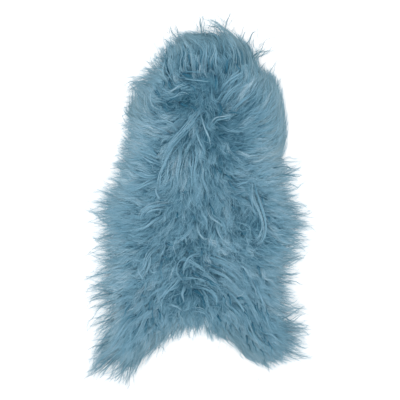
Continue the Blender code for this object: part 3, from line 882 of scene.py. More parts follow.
def strand_piece(name, locks, each, steps, width, spread, thinning, dice):
    """Grows a few strands of wool along each lock, as one piece.

    each is the number of strands to a lock, and steps the number of faces along a strand. spread is how
    far from the middle of a lock they root. Without thinning they may pass the rim.
    """
    of = np.repeat(np.arange(len(locks.path)), each)
    count = len(of)
    t = np.linspace(0.0, 1.0, steps + 1)
    past, near = past_rim(locks.path)
    past, over = past[of], wool_over[near[of, -1]]
    alike = locks.alike[of, None]
    lock_luck = dice.uniform(0, 1, (len(locks.path), 2))[of]
    luck = alike * lock_luck + (1.0 - alike) * dice.uniform(0, 1, (count, 2))
    reach = 1.0 - SHORTER * luck[:, 0]
    if thinning:
        reach = np.minimum(reach, within_rim(past, over, thinning, luck[:, 1] ** locks.tips[of]))
    share = t[None] * reach[:, None]

    angle = dice.uniform(0, 2 * np.pi, count)
    radius = spread * np.sqrt(dice.uniform(0, 1, count))
    offset = np.column_stack([np.cos(angle), np.sin(angle)]) * radius[:, None]
    drawn = 1.0 - dice.uniform(*DRAWN_IN, (count, 1)) * np.maximum(share, alike * t[None]) ** 0.8
    wobble = WOBBLE * np.sin(2 * np.pi * (WOBBLES * share + dice.uniform(0, 1, (count, 1)))) * t[None]
    wobble_way = dice.uniform(0, 2 * np.pi, count)
    flat = along_path(locks.path[of], share) + offset[:, None] * drawn[..., None]
    flat += wobble[..., None] * np.column_stack([np.cos(wobble_way), np.sin(wobble_way)])[:, None]
    kept = (np.abs(flat) < FURTHEST).all(axis=(1, 2))

    rough = locks.rough[of]
    level = locks.level[of] + STRAND_LEVEL * rough * dice.uniform(-1.0, 1.0, count)
    rise = 1.0 - (1.0 - np.minimum(share / RISE_SHARE, 1.0)) ** 2.2
    height = depth_at(flat[..., 0], flat[..., 1]) * level[:, None]
    z = SKIN_THICKNESS + (height - SKIN_THICKNESS) * rise
    z += (STRAND_LIFT * rough * dice.normal(0, 1, count))[:, None] * (t[None] * drawn)
    out = np.clip(0.75 + 0.5 * along_path(past, share) / over[:, None], 0.0, 1.0)
    fine = 1.0 - FINE_TIPS * out * np.clip(over / SMOOTH_OVER - 0.5, 0.0, 1.0)[:, None]
    taper = TIP_WIDTH + (1 - TIP_WIDTH) * (1 - t[None] ** 1.6)
    half = 0.5 * width * fine * taper * dice.uniform(*STRAND_WIDTHS, (count, 1))
    roll = dice.uniform(-LOCK_ROLL, LOCK_ROLL, (len(locks.path), 1))[of]
    roll = roll + dice.uniform(-STRAND_ROLL, STRAND_ROLL, (count, 1))
    roll = rough[:, None] * (roll + dice.normal(0, TWIST, (count, 1)) * t[None])
    roll = np.clip(roll, -MOST_ROLL, MOST_ROLL)
    tint = locks.tint[of] + STRAND_TINT * rough * dice.normal(0, 1, count)
    fade = locks.fade[of]
    mesh = ribbon_mesh(name, np.dstack([flat, z])[kept], half[kept], roll[kept], tint[kept], fade[kept])
    return new_piece(name, mesh, dyed_and_shaded_wool)


# The bands that the wool is parted into, from the neck down, each with its lower end along y.
WOOL_BANDS = (
    ("wool_neck", 0.300),
    ("wool_shoulders", 0.110),
    ("wool_back", -0.070),
    ("wool_rump", -0.240),
    ("wool_hind_legs", -1.0),
)
lock_roots = scattered(root_ring, LOCK_PITCH, wool_dice)
all_locks = grow_locks(lock_roots, wool_dice)
upper_end = 1.0
for band, (band_name, lower_end) in enumerate(WOOL_BANDS):
    in_band = (lock_roots[:, 1] <= upper_end) & (lock_roots[:, 1] > lower_end)
    strand_piece(
        band_name,
        Locks(*(values[in_band] for values in all_locks)),
        each=5,
        steps=8,
        width=0.0011,
        spread=0.0072,
        thinning=LONG_WOOL_THINNING,
        dice=np.random.default_rng(100 + band),
    )
    upper_end = lower_end

# ---------------------------------------------------------------- short wool
# The shorter, softer wool that grows between the long locks. It lies the same way, but deeper down,
# where it closes the pile, and its colour is painted darker than the long wool's, as painted shade,
# because less light reaches it.

SHORT_PITCH = 0.0068
SHORT_LEVELS = (0.15, 0.80)
# Painted shade: the short wool's tint is darker than the long wool's, for the shade deep in the pile.
SHORT_SHADE_TINT = -0.10  # deeper than the long wool's

short_dice = np.random.default_rng(21)
short_roots = scattered(root_ring, SHORT_PITCH, short_dice)
short_locks = grow_locks(short_roots, short_dice)
short_level = short_dice.uniform(*SHORT_LEVELS, len(short_roots))
strand_piece(
    "short_wool",
    short_locks._replace(level=short_level, tint=short_locks.tint + SHORT_SHADE_TINT),
    each=1,
    steps=5,
    width=0.0020,
    spread=0.0030,
    thinning=LONG_WOOL_THINNING,
    dice=short_dice,
)

# ---------------------------------------------------------------- main locks
# The locks that show one by one in the top of the fleece, where the wool was parted and swept over by
# hand: pale ones painted paler, as painted highlights where their backs catch the light, points at
# the rim, and dark gaps between two locks, which are dark strands laid on top as painted shade.

MainLock = namedtuple("MainLock", "place spread pale line")
# spread is about half a lock's width at its root, and line runs from root to tip as seen from above.
# pale is how much paler its wool is painted than elsewhere, as painted highlight. Below 0 it is
# darker, and far below 0 a dark gap of painted shade.
MAIN_LOCKS = [
    MainLock(place, spread, pale, line)
    for place, spread, pale, *line in (
        # Pale locks, painted paler as highlights, from the neck down.
        ("big lock, left", 0.008, 1.5,
         (0.095, 0.372), (0.103, 0.412), (0.098, 0.448), (0.080, 0.480), (0.058, 0.508), (0.040, 0.528)),
        ("big lock, middle", 0.009, 1.5,
         (0.116, 0.376), (0.122, 0.415), (0.110, 0.452), (0.088, 0.484), (0.058, 0.510), (0.022, 0.530)),
        ("big lock, right", 0.008, 1.0,
         (0.130, 0.392), (0.130, 0.430), (0.114, 0.464), (0.092, 0.490), (0.066, 0.508), (0.036, 0.514)),
        ("neck cap, first", 0.006, 1.0, (-0.044, 0.376), (-0.054, 0.405), (-0.050, 0.436), (-0.058, 0.466)),
        ("neck cap, second", 0.006, 1.0,
         (-0.012, 0.380), (-0.024, 0.412), (-0.024, 0.440), (-0.036, 0.474)),
        ("neck cap, third", 0.006, 1.0, (0.010, 0.382), (0.008, 0.414), (0.014, 0.440), (0.002, 0.478)),
        ("neck cap, fourth", 0.006, 0.5, (0.034, 0.384), (0.036, 0.414), (0.044, 0.440), (0.030, 0.474)),
        ("neck cap, left end", 0.006, 1.0,
         (-0.078, 0.372), (-0.088, 0.400), (-0.084, 0.428), (-0.096, 0.460)),
        ("along the crease", 0.004, 0.0, (-0.060, 0.380), (-0.044, 0.362), (-0.014, 0.352), (0.018, 0.352)),
        ("over the whorl, upper", 0.005, 1.5,
         (-0.112, 0.318), (-0.088, 0.324), (-0.060, 0.340), (-0.030, 0.346)),
        ("over the whorl, lower", 0.004, 0.5,
         (-0.104, 0.302), (-0.080, 0.306), (-0.055, 0.318), (-0.030, 0.316)),
        ("right of the crease", 0.006, 1.0, (0.060, 0.320), (0.078, 0.345), (0.100, 0.362), (0.124, 0.370)),
        ("right shoulder, first", 0.008, 1.5,
         (0.062, 0.275), (0.082, 0.312), (0.112, 0.336), (0.146, 0.350)),
        ("right shoulder, second", 0.008, 1.0,
         (0.074, 0.248), (0.104, 0.284), (0.138, 0.312), (0.168, 0.352)),
        ("pale crossing lock", 0.009, 1.5,
         (0.002, 0.268), (-0.022, 0.240), (-0.050, 0.206), (-0.078, 0.180), (-0.098, 0.148),
         (-0.106, 0.110), (-0.100, 0.070)),
        ("pale crossing lock, lower", 0.006, 1.5,
         (-0.060, 0.192), (-0.088, 0.160), (-0.098, 0.125), (-0.116, 0.090), (-0.122, 0.055),
         (-0.118, 0.010)),
        ("centre line", 0.003, 1.0, (-0.004, 0.258), (0.006, 0.226), (0.018, 0.198), (0.028, 0.168)),
        ("centre line, left", 0.003, 0.5, (-0.012, 0.220), (-0.006, 0.192), (0.008, 0.165), (0.012, 0.140)),
        ("back, left", 0.009, 1.5, (-0.050, 0.165), (-0.052, 0.125), (-0.062, 0.085), (-0.056, 0.045)),
        ("back, middle", 0.008, 1.0, (-0.018, 0.160), (-0.014, 0.120), (-0.024, 0.085), (-0.018, 0.050)),
        ("left waist", 0.008, 1.0, (-0.112, 0.120), (-0.140, 0.128), (-0.172, 0.146), (-0.196, 0.150)),
        ("left curl", 0.007, 3.5,
         (-0.092, 0.002), (-0.122, 0.004), (-0.152, -0.004), (-0.172, -0.024), (-0.174, -0.052)),
        ("left curl, inner", 0.005, 2.5,
         (-0.105, -0.012), (-0.132, -0.014), (-0.156, -0.024), (-0.162, -0.046)),
        ("pale drop", 0.0035, 4.5, (-0.123, 0.054), (-0.125, 0.036), (-0.121, 0.018), (-0.112, 0.008)),
        ("long curl", 0.008, 2.0,
         (0.146, 0.060), (0.152, 0.026), (0.164, -0.010), (0.178, -0.046), (0.181, -0.082), (0.168, -0.112),
         (0.142, -0.128)),
        ("long curl, outer", 0.005, 1.0,
         (0.160, 0.048), (0.170, 0.012), (0.186, -0.026), (0.192, -0.066), (0.182, -0.102),
         (0.158, -0.122)),
        ("hook below the middle", 0.006, 1.5,
         (0.050, -0.044), (0.052, -0.074), (0.064, -0.100), (0.086, -0.112), (0.110, -0.108)),
        ("middle, left", 0.006, 1.0,
         (-0.022, -0.060), (-0.040, -0.088), (-0.066, -0.112), (-0.094, -0.120)),
        ("rump, first curl", 0.005, 1.0,
         (-0.006, -0.140), (-0.030, -0.152), (-0.048, -0.176), (-0.046, -0.204)),
        ("rump, second curl", 0.006, 1.0,
         (0.000, -0.196), (0.028, -0.208), (0.048, -0.230), (0.056, -0.258)),
        ("rump, third curl", 0.006, 1.0,
         (-0.014, -0.234), (0.016, -0.238), (0.040, -0.256), (0.048, -0.282)),
        ("rump, across", 0.006, 1.0, (0.020, -0.146), (0.056, -0.160), (0.094, -0.178), (0.122, -0.204)),
        ("rump, across, lower", 0.007, 0.5,
         (0.026, -0.186), (0.066, -0.204), (0.100, -0.232), (0.122, -0.268)),
        ("rump, left", 0.007, 0.5, (-0.056, -0.200), (-0.078, -0.228), (-0.104, -0.254), (-0.126, -0.288)),
        ("left hip", 0.007, 1.0, (-0.124, -0.122), (-0.148, -0.146), (-0.162, -0.180), (-0.186, -0.210)),
        ("right hip", 0.006, 1.0, (0.138, -0.226), (0.164, -0.256), (0.180, -0.292), (0.196, -0.326)),
        ("right hind leg", 0.007, 1.0, (0.076, -0.240), (0.110, -0.274), (0.132, -0.312), (0.154, -0.350)),
        ("right hind leg, lower", 0.007, 1.0,
         (0.110, -0.300), (0.134, -0.338), (0.148, -0.376), (0.178, -0.410)),
        ("left hind leg", 0.008, 1.0,
         (-0.120, -0.280), (-0.150, -0.318), (-0.168, -0.358), (-0.196, -0.396)),
        ("left hind leg, outer", 0.008, 1.0,
         (-0.180, -0.316), (-0.216, -0.352), (-0.240, -0.396), (-0.276, -0.436), (-0.316, -0.466)),
        # Pale lines in the wool, painted as highlights, from the rump up.
        ("rump, fourth curl", 0.006, 0.5,
         (0.028, -0.152), (0.056, -0.164), (0.086, -0.182), (0.112, -0.208)),
        ("rump, fifth curl", 0.006, 1.0,
         (-0.002, -0.244), (0.012, -0.262), (0.020, -0.288), (0.026, -0.316)),
        ("rump, sixth curl", 0.004, 1.0,
         (0.020, -0.246), (0.040, -0.258), (0.048, -0.280), (0.042, -0.304)),
        ("rump, seventh curl", 0.006, 1.0,
         (-0.062, -0.158), (-0.030, -0.164), (-0.004, -0.182), (0.022, -0.202)),
        ("rump, eighth curl", 0.005, 0.5,
         (-0.058, -0.216), (-0.030, -0.214), (0.000, -0.216), (0.026, -0.226)),
        ("rump, loop", 0.004, 1.0,
         (-0.048, -0.152), (-0.066, -0.164), (-0.072, -0.190), (-0.062, -0.214), (-0.046, -0.222)),
        ("rump, upper loop", 0.004, 1.0,
         (-0.050, -0.100), (-0.068, -0.104), (-0.080, -0.124), (-0.072, -0.140)),
        ("rump, upper hook", 0.003, 0.5, (-0.056, -0.092), (-0.044, -0.098), (-0.040, -0.116)),
        ("rump, left strand", 0.005, 0.5, (-0.070, -0.172), (-0.084, -0.196), (-0.090, -0.222)),
        ("left hip, first line", 0.005, 1.5,
         (-0.150, -0.138), (-0.148, -0.164), (-0.156, -0.190), (-0.170, -0.212), (-0.194, -0.224)),
        ("left hip, second line", 0.004, 1.0,
         (-0.172, -0.170), (-0.176, -0.190), (-0.166, -0.212), (-0.160, -0.234)),
        ("left hip, curl", 0.004, 1.0, (-0.104, -0.112), (-0.108, -0.136), (-0.118, -0.158)),
        ("left hip, hook", 0.003, 1.0, (-0.148, -0.188), (-0.134, -0.198), (-0.120, -0.192)),
        ("rump, lower left, first", 0.005, 0.5,
         (-0.064, -0.232), (-0.086, -0.246), (-0.104, -0.258), (-0.118, -0.276)),
        ("rump, lower left, second", 0.005, 1.0,
         (-0.084, -0.232), (-0.108, -0.244), (-0.130, -0.252), (-0.150, -0.272), (-0.156, -0.302)),
        ("left hind leg, first line", 0.006, 1.0,
         (-0.164, -0.262), (-0.176, -0.286), (-0.186, -0.306), (-0.206, -0.322)),
        ("left hind leg, second line", 0.005, 1.5,
         (-0.138, -0.276), (-0.144, -0.304), (-0.166, -0.324), (-0.192, -0.332), (-0.212, -0.352)),
        ("left hind leg, third line", 0.005, 1.0,
         (-0.110, -0.286), (-0.116, -0.314), (-0.106, -0.336), (-0.112, -0.362)),
        ("tail, first arc", 0.005, 1.5,
         (-0.024, -0.304), (0.002, -0.306), (0.020, -0.320), (0.030, -0.344)),
        ("tail, second arc", 0.004, 1.0,
         (-0.096, -0.284), (-0.078, -0.286), (-0.058, -0.298), (-0.050, -0.318)),
        ("tail, pale lock", 0.005, 1.5, (-0.048, -0.236), (-0.054, -0.256), (-0.050, -0.280)),
        ("right hind leg, first line", 0.007, 1.5,
         (0.070, -0.280), (0.094, -0.302), (0.112, -0.326), (0.126, -0.352)),
        ("right hind leg, second line", 0.005, 1.0,
         (0.098, -0.292), (0.116, -0.314), (0.130, -0.344), (0.140, -0.372)),
        ("right hind leg, third line", 0.006, 1.5,
         (0.126, -0.264), (0.148, -0.294), (0.162, -0.328), (0.174, -0.360)),
        ("right hind leg, fourth line", 0.005, 1.0,
         (0.170, -0.280), (0.184, -0.308), (0.196, -0.342), (0.214, -0.372)),
        ("right hind leg, arc", 0.003, 1.5, (0.098, -0.272), (0.112, -0.264), (0.130, -0.250)),
        ("right hip, first arc", 0.004, 1.5, (0.108, -0.172), (0.128, -0.186), (0.140, -0.206)),
        ("right hip, second arc", 0.005, 1.5, (0.144, -0.216), (0.158, -0.244), (0.166, -0.276)),
        ("right hip, third arc", 0.005, 1.0,
         (0.084, -0.216), (0.098, -0.238), (0.118, -0.252), (0.138, -0.258)),
        ("below the long curl", 0.003, 1.5, (0.130, -0.092), (0.138, -0.110), (0.132, -0.128)),
        ("below the hook", 0.004, 1.5, (0.058, -0.092), (0.062, -0.116), (0.078, -0.130), (0.098, -0.134)),
        ("middle, loop", 0.004, 1.5, (-0.004, -0.058), (-0.004, -0.080), (0.010, -0.096), (0.028, -0.100)),
        ("middle, right", 0.005, 1.5,
         (0.022, -0.010), (0.032, -0.034), (0.050, -0.048), (0.066, -0.066), (0.070, -0.090)),
        ("middle, first line", 0.004, 1.0,
         (-0.002, -0.010), (0.004, -0.034), (0.016, -0.052), (0.018, -0.074)),
        ("middle, second line", 0.004, 1.0, (-0.044, -0.010), (-0.050, -0.036), (-0.046, -0.062)),
        ("middle, pale line", 0.005, 1.5,
         (0.004, 0.108), (0.004, 0.070), (0.014, 0.042), (0.020, 0.016), (0.010, -0.008)),
        ("beside the curl, first", 0.005, 1.5,
         (0.140, 0.064), (0.141, 0.026), (0.150, -0.004), (0.160, -0.036)),
        ("beside the curl, second", 0.003, 1.0, (0.118, -0.042), (0.128, -0.022), (0.146, -0.004)),
        ("inside the curl, first", 0.002, 0.5,
         (0.098, -0.054), (0.120, -0.056), (0.138, -0.066), (0.140, -0.084)),
        ("above the curl", 0.004, 1.5, (0.094, 0.050), (0.114, 0.056), (0.138, 0.066)),
        ("left waist, long line", 0.006, 1.0,
         (-0.122, 0.084), (-0.148, 0.080), (-0.176, 0.088), (-0.208, 0.100)),
        ("left waist, lower line", 0.006, 0.5,
         (-0.124, 0.072), (-0.150, 0.062), (-0.184, 0.046), (-0.218, 0.038)),
        ("left flank, line under the curl", 0.006, 0.5,
         (-0.110, -0.030), (-0.140, -0.050), (-0.172, -0.070), (-0.206, -0.076)),
        ("centre line, long", 0.003, 1.0,
         (0.000, 0.258), (0.006, 0.228), (0.018, 0.200), (0.026, 0.168), (0.028, 0.140)),
        ("centre line, left branch", 0.003, 1.0,
         (-0.016, 0.208), (-0.002, 0.176), (0.010, 0.150), (0.012, 0.128)),
        ("pale crossing line", 0.002, 1.5,
         (0.000, 0.268), (-0.014, 0.246), (-0.026, 0.226), (-0.046, 0.210), (-0.066, 0.196)),
        ("left flank, first arc", 0.004, 1.5,
         (-0.066, 0.204), (-0.078, 0.224), (-0.096, 0.236), (-0.122, 0.236), (-0.146, 0.228)),
        ("left flank, second arc", 0.005, 1.0,
         (-0.092, 0.198), (-0.116, 0.214), (-0.146, 0.222), (-0.178, 0.216)),
        ("left foreleg, first arc", 0.006, 1.5,
         (-0.136, 0.258), (-0.152, 0.272), (-0.158, 0.300), (-0.150, 0.334)),
        ("left foreleg, second arc", 0.005, 1.0,
         (-0.112, 0.268), (-0.136, 0.280), (-0.142, 0.306), (-0.136, 0.336)),
        ("right of the hollow, first", 0.005, 1.5,
         (0.028, 0.222), (0.044, 0.244), (0.072, 0.248), (0.102, 0.258)),
        ("right of the hollow, second", 0.004, 1.0,
         (0.062, 0.222), (0.078, 0.210), (0.102, 0.206), (0.126, 0.212)),
        ("under the crease", 0.003, -0.5, (-0.050, 0.362), (-0.024, 0.354), (0.010, 0.354), (0.042, 0.360)),
        ("crease, upper", 0.003, -0.5, (-0.056, 0.372), (-0.034, 0.379), (0.000, 0.376), (0.034, 0.366)),
        ("right of the crease, upper", 0.004, 1.5, (0.074, 0.346), (0.094, 0.366), (0.114, 0.386)),
        ("right of the crease, lower", 0.006, 1.5,
         (0.062, 0.324), (0.084, 0.350), (0.110, 0.366), (0.130, 0.384)),
        ("big lock, root line", 0.004, 2.0,
         (0.122, 0.366), (0.119, 0.400), (0.112, 0.432), (0.096, 0.464), (0.076, 0.490)),
        ("neck cap, fifth", 0.006, 0.5, (-0.086, 0.348), (-0.106, 0.380), (-0.100, 0.410), (-0.084, 0.442)),
        ("neck cap, sixth", 0.004, 1.5, (-0.020, 0.384), (-0.026, 0.418), (-0.036, 0.454), (-0.052, 0.478)),
        ("neck cap, seventh", 0.004, 1.5,
         (-0.044, 0.374), (-0.048, 0.402), (-0.042, 0.430), (-0.058, 0.462)),
        ("neck cap, eighth", 0.004, 1.0, (0.048, 0.376), (0.040, 0.410), (0.046, 0.442), (0.028, 0.476)),
        ("neck, right side, line", 0.005, 0.5,
         (0.140, 0.370), (0.146, 0.404), (0.140, 0.436), (0.124, 0.464)),
        # Points and hairs that stand out at the rim, from the neck down.
        ("neck, tuft on top", 0.004, -0.5, (0.006, 0.478), (0.004, 0.502), (0.000, 0.522), (-0.005, 0.552)),
        ("neck, tuft on top, right", 0.002, -0.5, (0.014, 0.480), (0.012, 0.500), (0.016, 0.514)),
        ("neck, left tuft", 0.004, -0.5,
         (-0.062, 0.462), (-0.074, 0.482), (-0.084, 0.498), (-0.093, 0.522)),
        ("neck, left tuft, inner", 0.002, -0.5, (-0.056, 0.470), (-0.066, 0.488), (-0.070, 0.514)),
        ("neck, left tuft, outer", 0.002, -0.5, (-0.080, 0.452), (-0.096, 0.470), (-0.112, 0.478)),
        ("big lock, tip", 0.003, -0.5, (0.078, 0.486), (0.062, 0.508), (0.046, 0.524), (0.026, 0.531)),
        ("big lock, lower tip", 0.003, -0.5,
         (0.074, 0.482), (0.058, 0.504), (0.040, 0.512), (0.016, 0.511)),
        ("big lock, hair above", 0.001, -0.5,
         (0.066, 0.490), (0.074, 0.512), (0.079, 0.534), (0.088, 0.560)),
        ("neck, right, upper hair", 0.001, -0.5,
         (0.112, 0.464), (0.124, 0.482), (0.130, 0.498), (0.127, 0.512)),
        ("neck, right, lower hair", 0.001, -0.5,
         (0.128, 0.456), (0.142, 0.474), (0.150, 0.490), (0.162, 0.502)),
        ("neck, right, dark curl", 0.003, -1.0,
         (0.146, 0.418), (0.160, 0.431), (0.173, 0.439), (0.188, 0.442), (0.212, 0.438)),
        ("neck, right, pale curl", 0.001, 0.0,
         (0.150, 0.412), (0.168, 0.436), (0.182, 0.458), (0.192, 0.482)),
        ("neck, foot of its right side", 0.003, -0.5, (0.166, 0.374), (0.178, 0.396), (0.190, 0.408)),
        ("neck, left loop", 0.002, 0.5, (-0.108, 0.412), (-0.126, 0.424), (-0.137, 0.406), (-0.129, 0.384)),
        ("left shoulder, upper hair", 0.003, 0.5,
         (-0.110, 0.372), (-0.132, 0.382), (-0.156, 0.382), (-0.182, 0.388)),
        ("left shoulder, lower hair", 0.003, 0.5,
         (-0.130, 0.362), (-0.156, 0.368), (-0.182, 0.366), (-0.210, 0.372)),
        ("left shoulder, point", 0.003, -0.5,
         (-0.150, 0.342), (-0.174, 0.350), (-0.196, 0.350), (-0.216, 0.346)),
        ("right waist, first point", 0.003, -0.5,
         (0.212, 0.100), (0.240, 0.106), (0.262, 0.098), (0.288, 0.104)),
        ("right waist, second point", 0.003, -0.5,
         (0.222, 0.078), (0.252, 0.084), (0.276, 0.076), (0.304, 0.080)),
        ("right waist, third point", 0.003, -0.5,
         (0.226, 0.056), (0.256, 0.056), (0.282, 0.046), (0.308, 0.048)),
        ("right hip, first point", 0.003, -0.5,
         (0.236, -0.172), (0.260, -0.164), (0.284, -0.162), (0.306, -0.176)),
        ("right hip, second point", 0.003, -0.5,
         (0.232, -0.206), (0.258, -0.204), (0.282, -0.202), (0.304, -0.206)),
        ("right hip, third point", 0.003, -0.5,
         (0.234, -0.228), (0.260, -0.224), (0.282, -0.228), (0.304, -0.246)),
        ("right hind leg, first point", 0.004, -1.0,
         (0.238, -0.330), (0.262, -0.318), (0.280, -0.306), (0.299, -0.296)),
        ("right hind leg, second point", 0.004, -1.0,
         (0.236, -0.344), (0.264, -0.336), (0.286, -0.322), (0.302, -0.317), (0.323, -0.323)),
        ("right hind leg, third point", 0.004, -0.5,
         (0.246, -0.350), (0.272, -0.346), (0.298, -0.348), (0.322, -0.364)),
        ("right hind leg, fourth point", 0.003, -0.5,
         (0.248, -0.366), (0.276, -0.368), (0.300, -0.374), (0.320, -0.392)),
        ("right hind leg, fifth point", 0.003, -0.5,
         (0.250, -0.392), (0.278, -0.404), (0.302, -0.418), (0.332, -0.412)),
        ("right hind leg, long point", 0.004, -0.5,
         (0.240, -0.412), (0.270, -0.428), (0.302, -0.438), (0.346, -0.450)),
        ("right hind leg, foot, point", 0.003, -0.5,
         (0.180, -0.446), (0.190, -0.468), (0.195, -0.484), (0.200, -0.502)),
        ("left hip, first point", 0.004, -0.5,
         (-0.262, -0.262), (-0.288, -0.266), (-0.314, -0.276), (-0.340, -0.280)),
        ("left hip, second point", 0.003, -0.5,
         (-0.260, -0.284), (-0.288, -0.290), (-0.312, -0.298), (-0.336, -0.304)),
        ("left hip, third point", 0.003, -0.5,
         (-0.266, -0.332), (-0.286, -0.340), (-0.306, -0.344), (-0.324, -0.356)),
        ("left hind leg, first point", 0.003, -0.5,
         (-0.262, -0.384), (-0.284, -0.390), (-0.304, -0.394), (-0.322, -0.402)),
        ("left hind leg, second point", 0.003, -1.0,
         (-0.262, -0.398), (-0.288, -0.410), (-0.312, -0.414), (-0.338, -0.428)),
        ("left hind leg, third point", 0.003, -0.5,
         (-0.276, -0.402), (-0.298, -0.426), (-0.310, -0.452), (-0.314, -0.478)),
        ("left hind leg, upper tip", 0.003, -0.5,
         (-0.268, -0.452), (-0.296, -0.474), (-0.322, -0.486), (-0.346, -0.492)),
        ("left hind leg, long tip", 0.005, -1.0,
         (-0.260, -0.446), (-0.290, -0.474), (-0.318, -0.492), (-0.346, -0.514)),
        ("left hind leg, fourth point", 0.004, -0.5,
         (-0.248, -0.452), (-0.270, -0.474), (-0.290, -0.494), (-0.304, -0.514)),
        ("left hind leg, fifth point", 0.003, -0.5,
         (-0.214, -0.452), (-0.236, -0.476), (-0.256, -0.492), (-0.280, -0.498)),
        ("left hind leg, sixth point", 0.003, -0.5,
         (-0.210, -0.458), (-0.230, -0.482), (-0.252, -0.500), (-0.278, -0.508)),
        ("left hind leg, seventh point", 0.004, -1.0,
         (-0.212, -0.456), (-0.228, -0.484), (-0.246, -0.504), (-0.258, -0.528)),
        ("left hind leg, lowest tip", 0.005, -1.0,
         (-0.198, -0.440), (-0.208, -0.474), (-0.212, -0.506), (-0.220, -0.542)),
        ("left hind leg, eighth point", 0.003, -0.5,
         (-0.206, -0.452), (-0.218, -0.480), (-0.222, -0.504), (-0.227, -0.528)),
        ("left hind leg, inner point", 0.004, -0.5,
         (-0.174, -0.442), (-0.186, -0.472), (-0.194, -0.492), (-0.204, -0.514)),
        # Pale lines of painted highlight, most of them beside a dark gap.
        ("back, left, upper line", 0.0025, 2.0, (-0.090, 0.128), (-0.093, 0.098), (-0.091, 0.064)),
        ("back, left, short line", 0.002, 2.5, (-0.031, 0.132), (-0.031, 0.116), (-0.030, 0.098)),
        ("hook, left of it", 0.005, 1.5,
         (0.044, -0.074), (0.034, -0.094), (0.028, -0.112), (0.021, -0.136)),
        ("hook, beside it", 0.0025, 2.0,
         (0.048, -0.082), (0.046, -0.102), (0.054, -0.118), (0.066, -0.130)),
        ("pale curl, inner line", 0.003, 2.0,
         (0.173, -0.046), (0.174, -0.068), (0.167, -0.088), (0.155, -0.102)),
        ("pale curl, crossing line", 0.002, 2.0, (0.160, -0.100), (0.168, -0.090), (0.176, -0.082)),
        ("rump, between the gaps", 0.0025, 1.0,
         (0.006, -0.214), (0.024, -0.227), (0.040, -0.239), (0.052, -0.250)),
        ("rump, right of the dark", 0.0025, 1.0,
         (0.056, -0.246), (0.070, -0.262), (0.076, -0.280), (0.086, -0.298)),
        ("rump, flow, first", 0.004, 0.5,
         (0.062, -0.178), (0.082, -0.192), (0.100, -0.210), (0.112, -0.232)),
        ("right foot, first line", 0.0025, 1.5,
         (0.136, -0.378), (0.145, -0.394), (0.151, -0.410), (0.156, -0.428)),
        ("right foot, second line", 0.003, 1.5,
         (0.156, -0.378), (0.169, -0.394), (0.180, -0.410), (0.190, -0.426)),
        ("right foot, third line", 0.0025, 1.5, (0.196, -0.402), (0.204, -0.418), (0.212, -0.434)),
        ("right hind leg, wavy line", 0.003, 1.0,
         (0.176, -0.368), (0.196, -0.371), (0.213, -0.382), (0.232, -0.398)),
        ("right hind leg, inner line", 0.003, 1.0,
         (0.104, -0.330), (0.112, -0.350), (0.112, -0.368), (0.118, -0.386)),
        # Dark gaps of painted shade: dark strands laid on top where the wool between two locks lies in
        # shadow.
        ("gap, back, first", 0.003, -6.0, (0.030, 0.112), (0.038, 0.092), (0.044, 0.080), (0.042, 0.068)),
        ("gap, back, second", 0.0045, -7.0, (0.050, 0.102), (0.056, 0.094), (0.061, 0.087)),
        ("gap, back, third", 0.0035, -7.5, (0.070, 0.084), (0.080, 0.076), (0.090, 0.071)),
        ("gap, back, fourth", 0.0045, -7.0, (0.076, 0.060), (0.086, 0.046), (0.098, 0.039), (0.112, 0.034)),
        ("gap, above the curl", 0.003, -6.0, (0.108, 0.022), (0.121, 0.028), (0.135, 0.037)),
        ("gap, middle of the back", 0.004, -7.0, (-0.052, 0.034), (-0.044, 0.031), (-0.036, 0.035)),
        ("gap, under the drop", 0.0035, -7.5, (-0.118, 0.009), (-0.110, 0.010), (-0.100, 0.014)),
        ("gap, middle, first", 0.0025, -7.0,
         (0.027, 0.002), (0.033, -0.014), (0.040, -0.025), (0.047, -0.036)),
        ("gap, left of the curl", 0.0045, -6.0, (0.090, -0.004), (0.098, -0.013), (0.108, -0.017)),
        ("gap, middle, second", 0.0045, -5.0, (-0.024, -0.028), (-0.018, -0.038), (-0.012, -0.050)),
        ("gap, middle, left", 0.0035, -5.0, (-0.070, -0.024), (-0.068, -0.036), (-0.060, -0.044)),
        ("gap, inside the curl", 0.004, -7.5, (0.114, -0.084), (0.124, -0.084), (0.132, -0.078)),
        ("gap, right of the curl", 0.0035, -6.0, (0.194, -0.036), (0.197, -0.046), (0.196, -0.058)),
        ("gap, right of the curl, upper", 0.003, -5.0, (0.171, 0.020), (0.176, 0.008), (0.178, -0.006)),
        ("gap, in the loop", 0.0035, -7.5, (-0.062, -0.108), (-0.054, -0.110), (-0.048, -0.118)),
        ("gap, left of the loop", 0.0035, -6.0, (-0.096, -0.110), (-0.086, -0.114), (-0.072, -0.119)),
        ("gap, rump, first", 0.003, -8.5,
         (0.016, -0.169), (0.032, -0.176), (0.050, -0.180), (0.066, -0.179)),
        ("gap, rump, second", 0.0035, -8.5,
         (0.000, -0.206), (0.020, -0.215), (0.038, -0.224), (0.060, -0.233)),
        ("gap, rump, third", 0.003, -8.5, (0.020, -0.220), (0.034, -0.231), (0.048, -0.241)),
        ("gap, rump, fourth", 0.004, -7.5,
         (-0.018, -0.246), (-0.006, -0.255), (0.006, -0.262), (0.016, -0.263)),
        ("gap, rump, fifth", 0.0035, -8.5, (0.017, -0.253), (0.028, -0.260), (0.040, -0.267)),
        ("gap, rump, sixth", 0.0055, -7.0, (0.000, -0.264), (0.006, -0.280), (0.011, -0.298)),
        ("gap, rump, upper left", 0.0045, -7.0, (-0.064, -0.196), (-0.056, -0.201), (-0.050, -0.210)),
        ("gap, rump, upper", 0.0045, -7.0, (-0.022, -0.194), (-0.010, -0.200), (0.003, -0.204)),
        ("gap, rump, seventh", 0.0045, -7.5, (0.062, -0.260), (0.068, -0.276), (0.066, -0.290)),
        ("gap, rump, eighth", 0.0035, -8.5, (0.079, -0.258), (0.086, -0.275), (0.085, -0.292)),
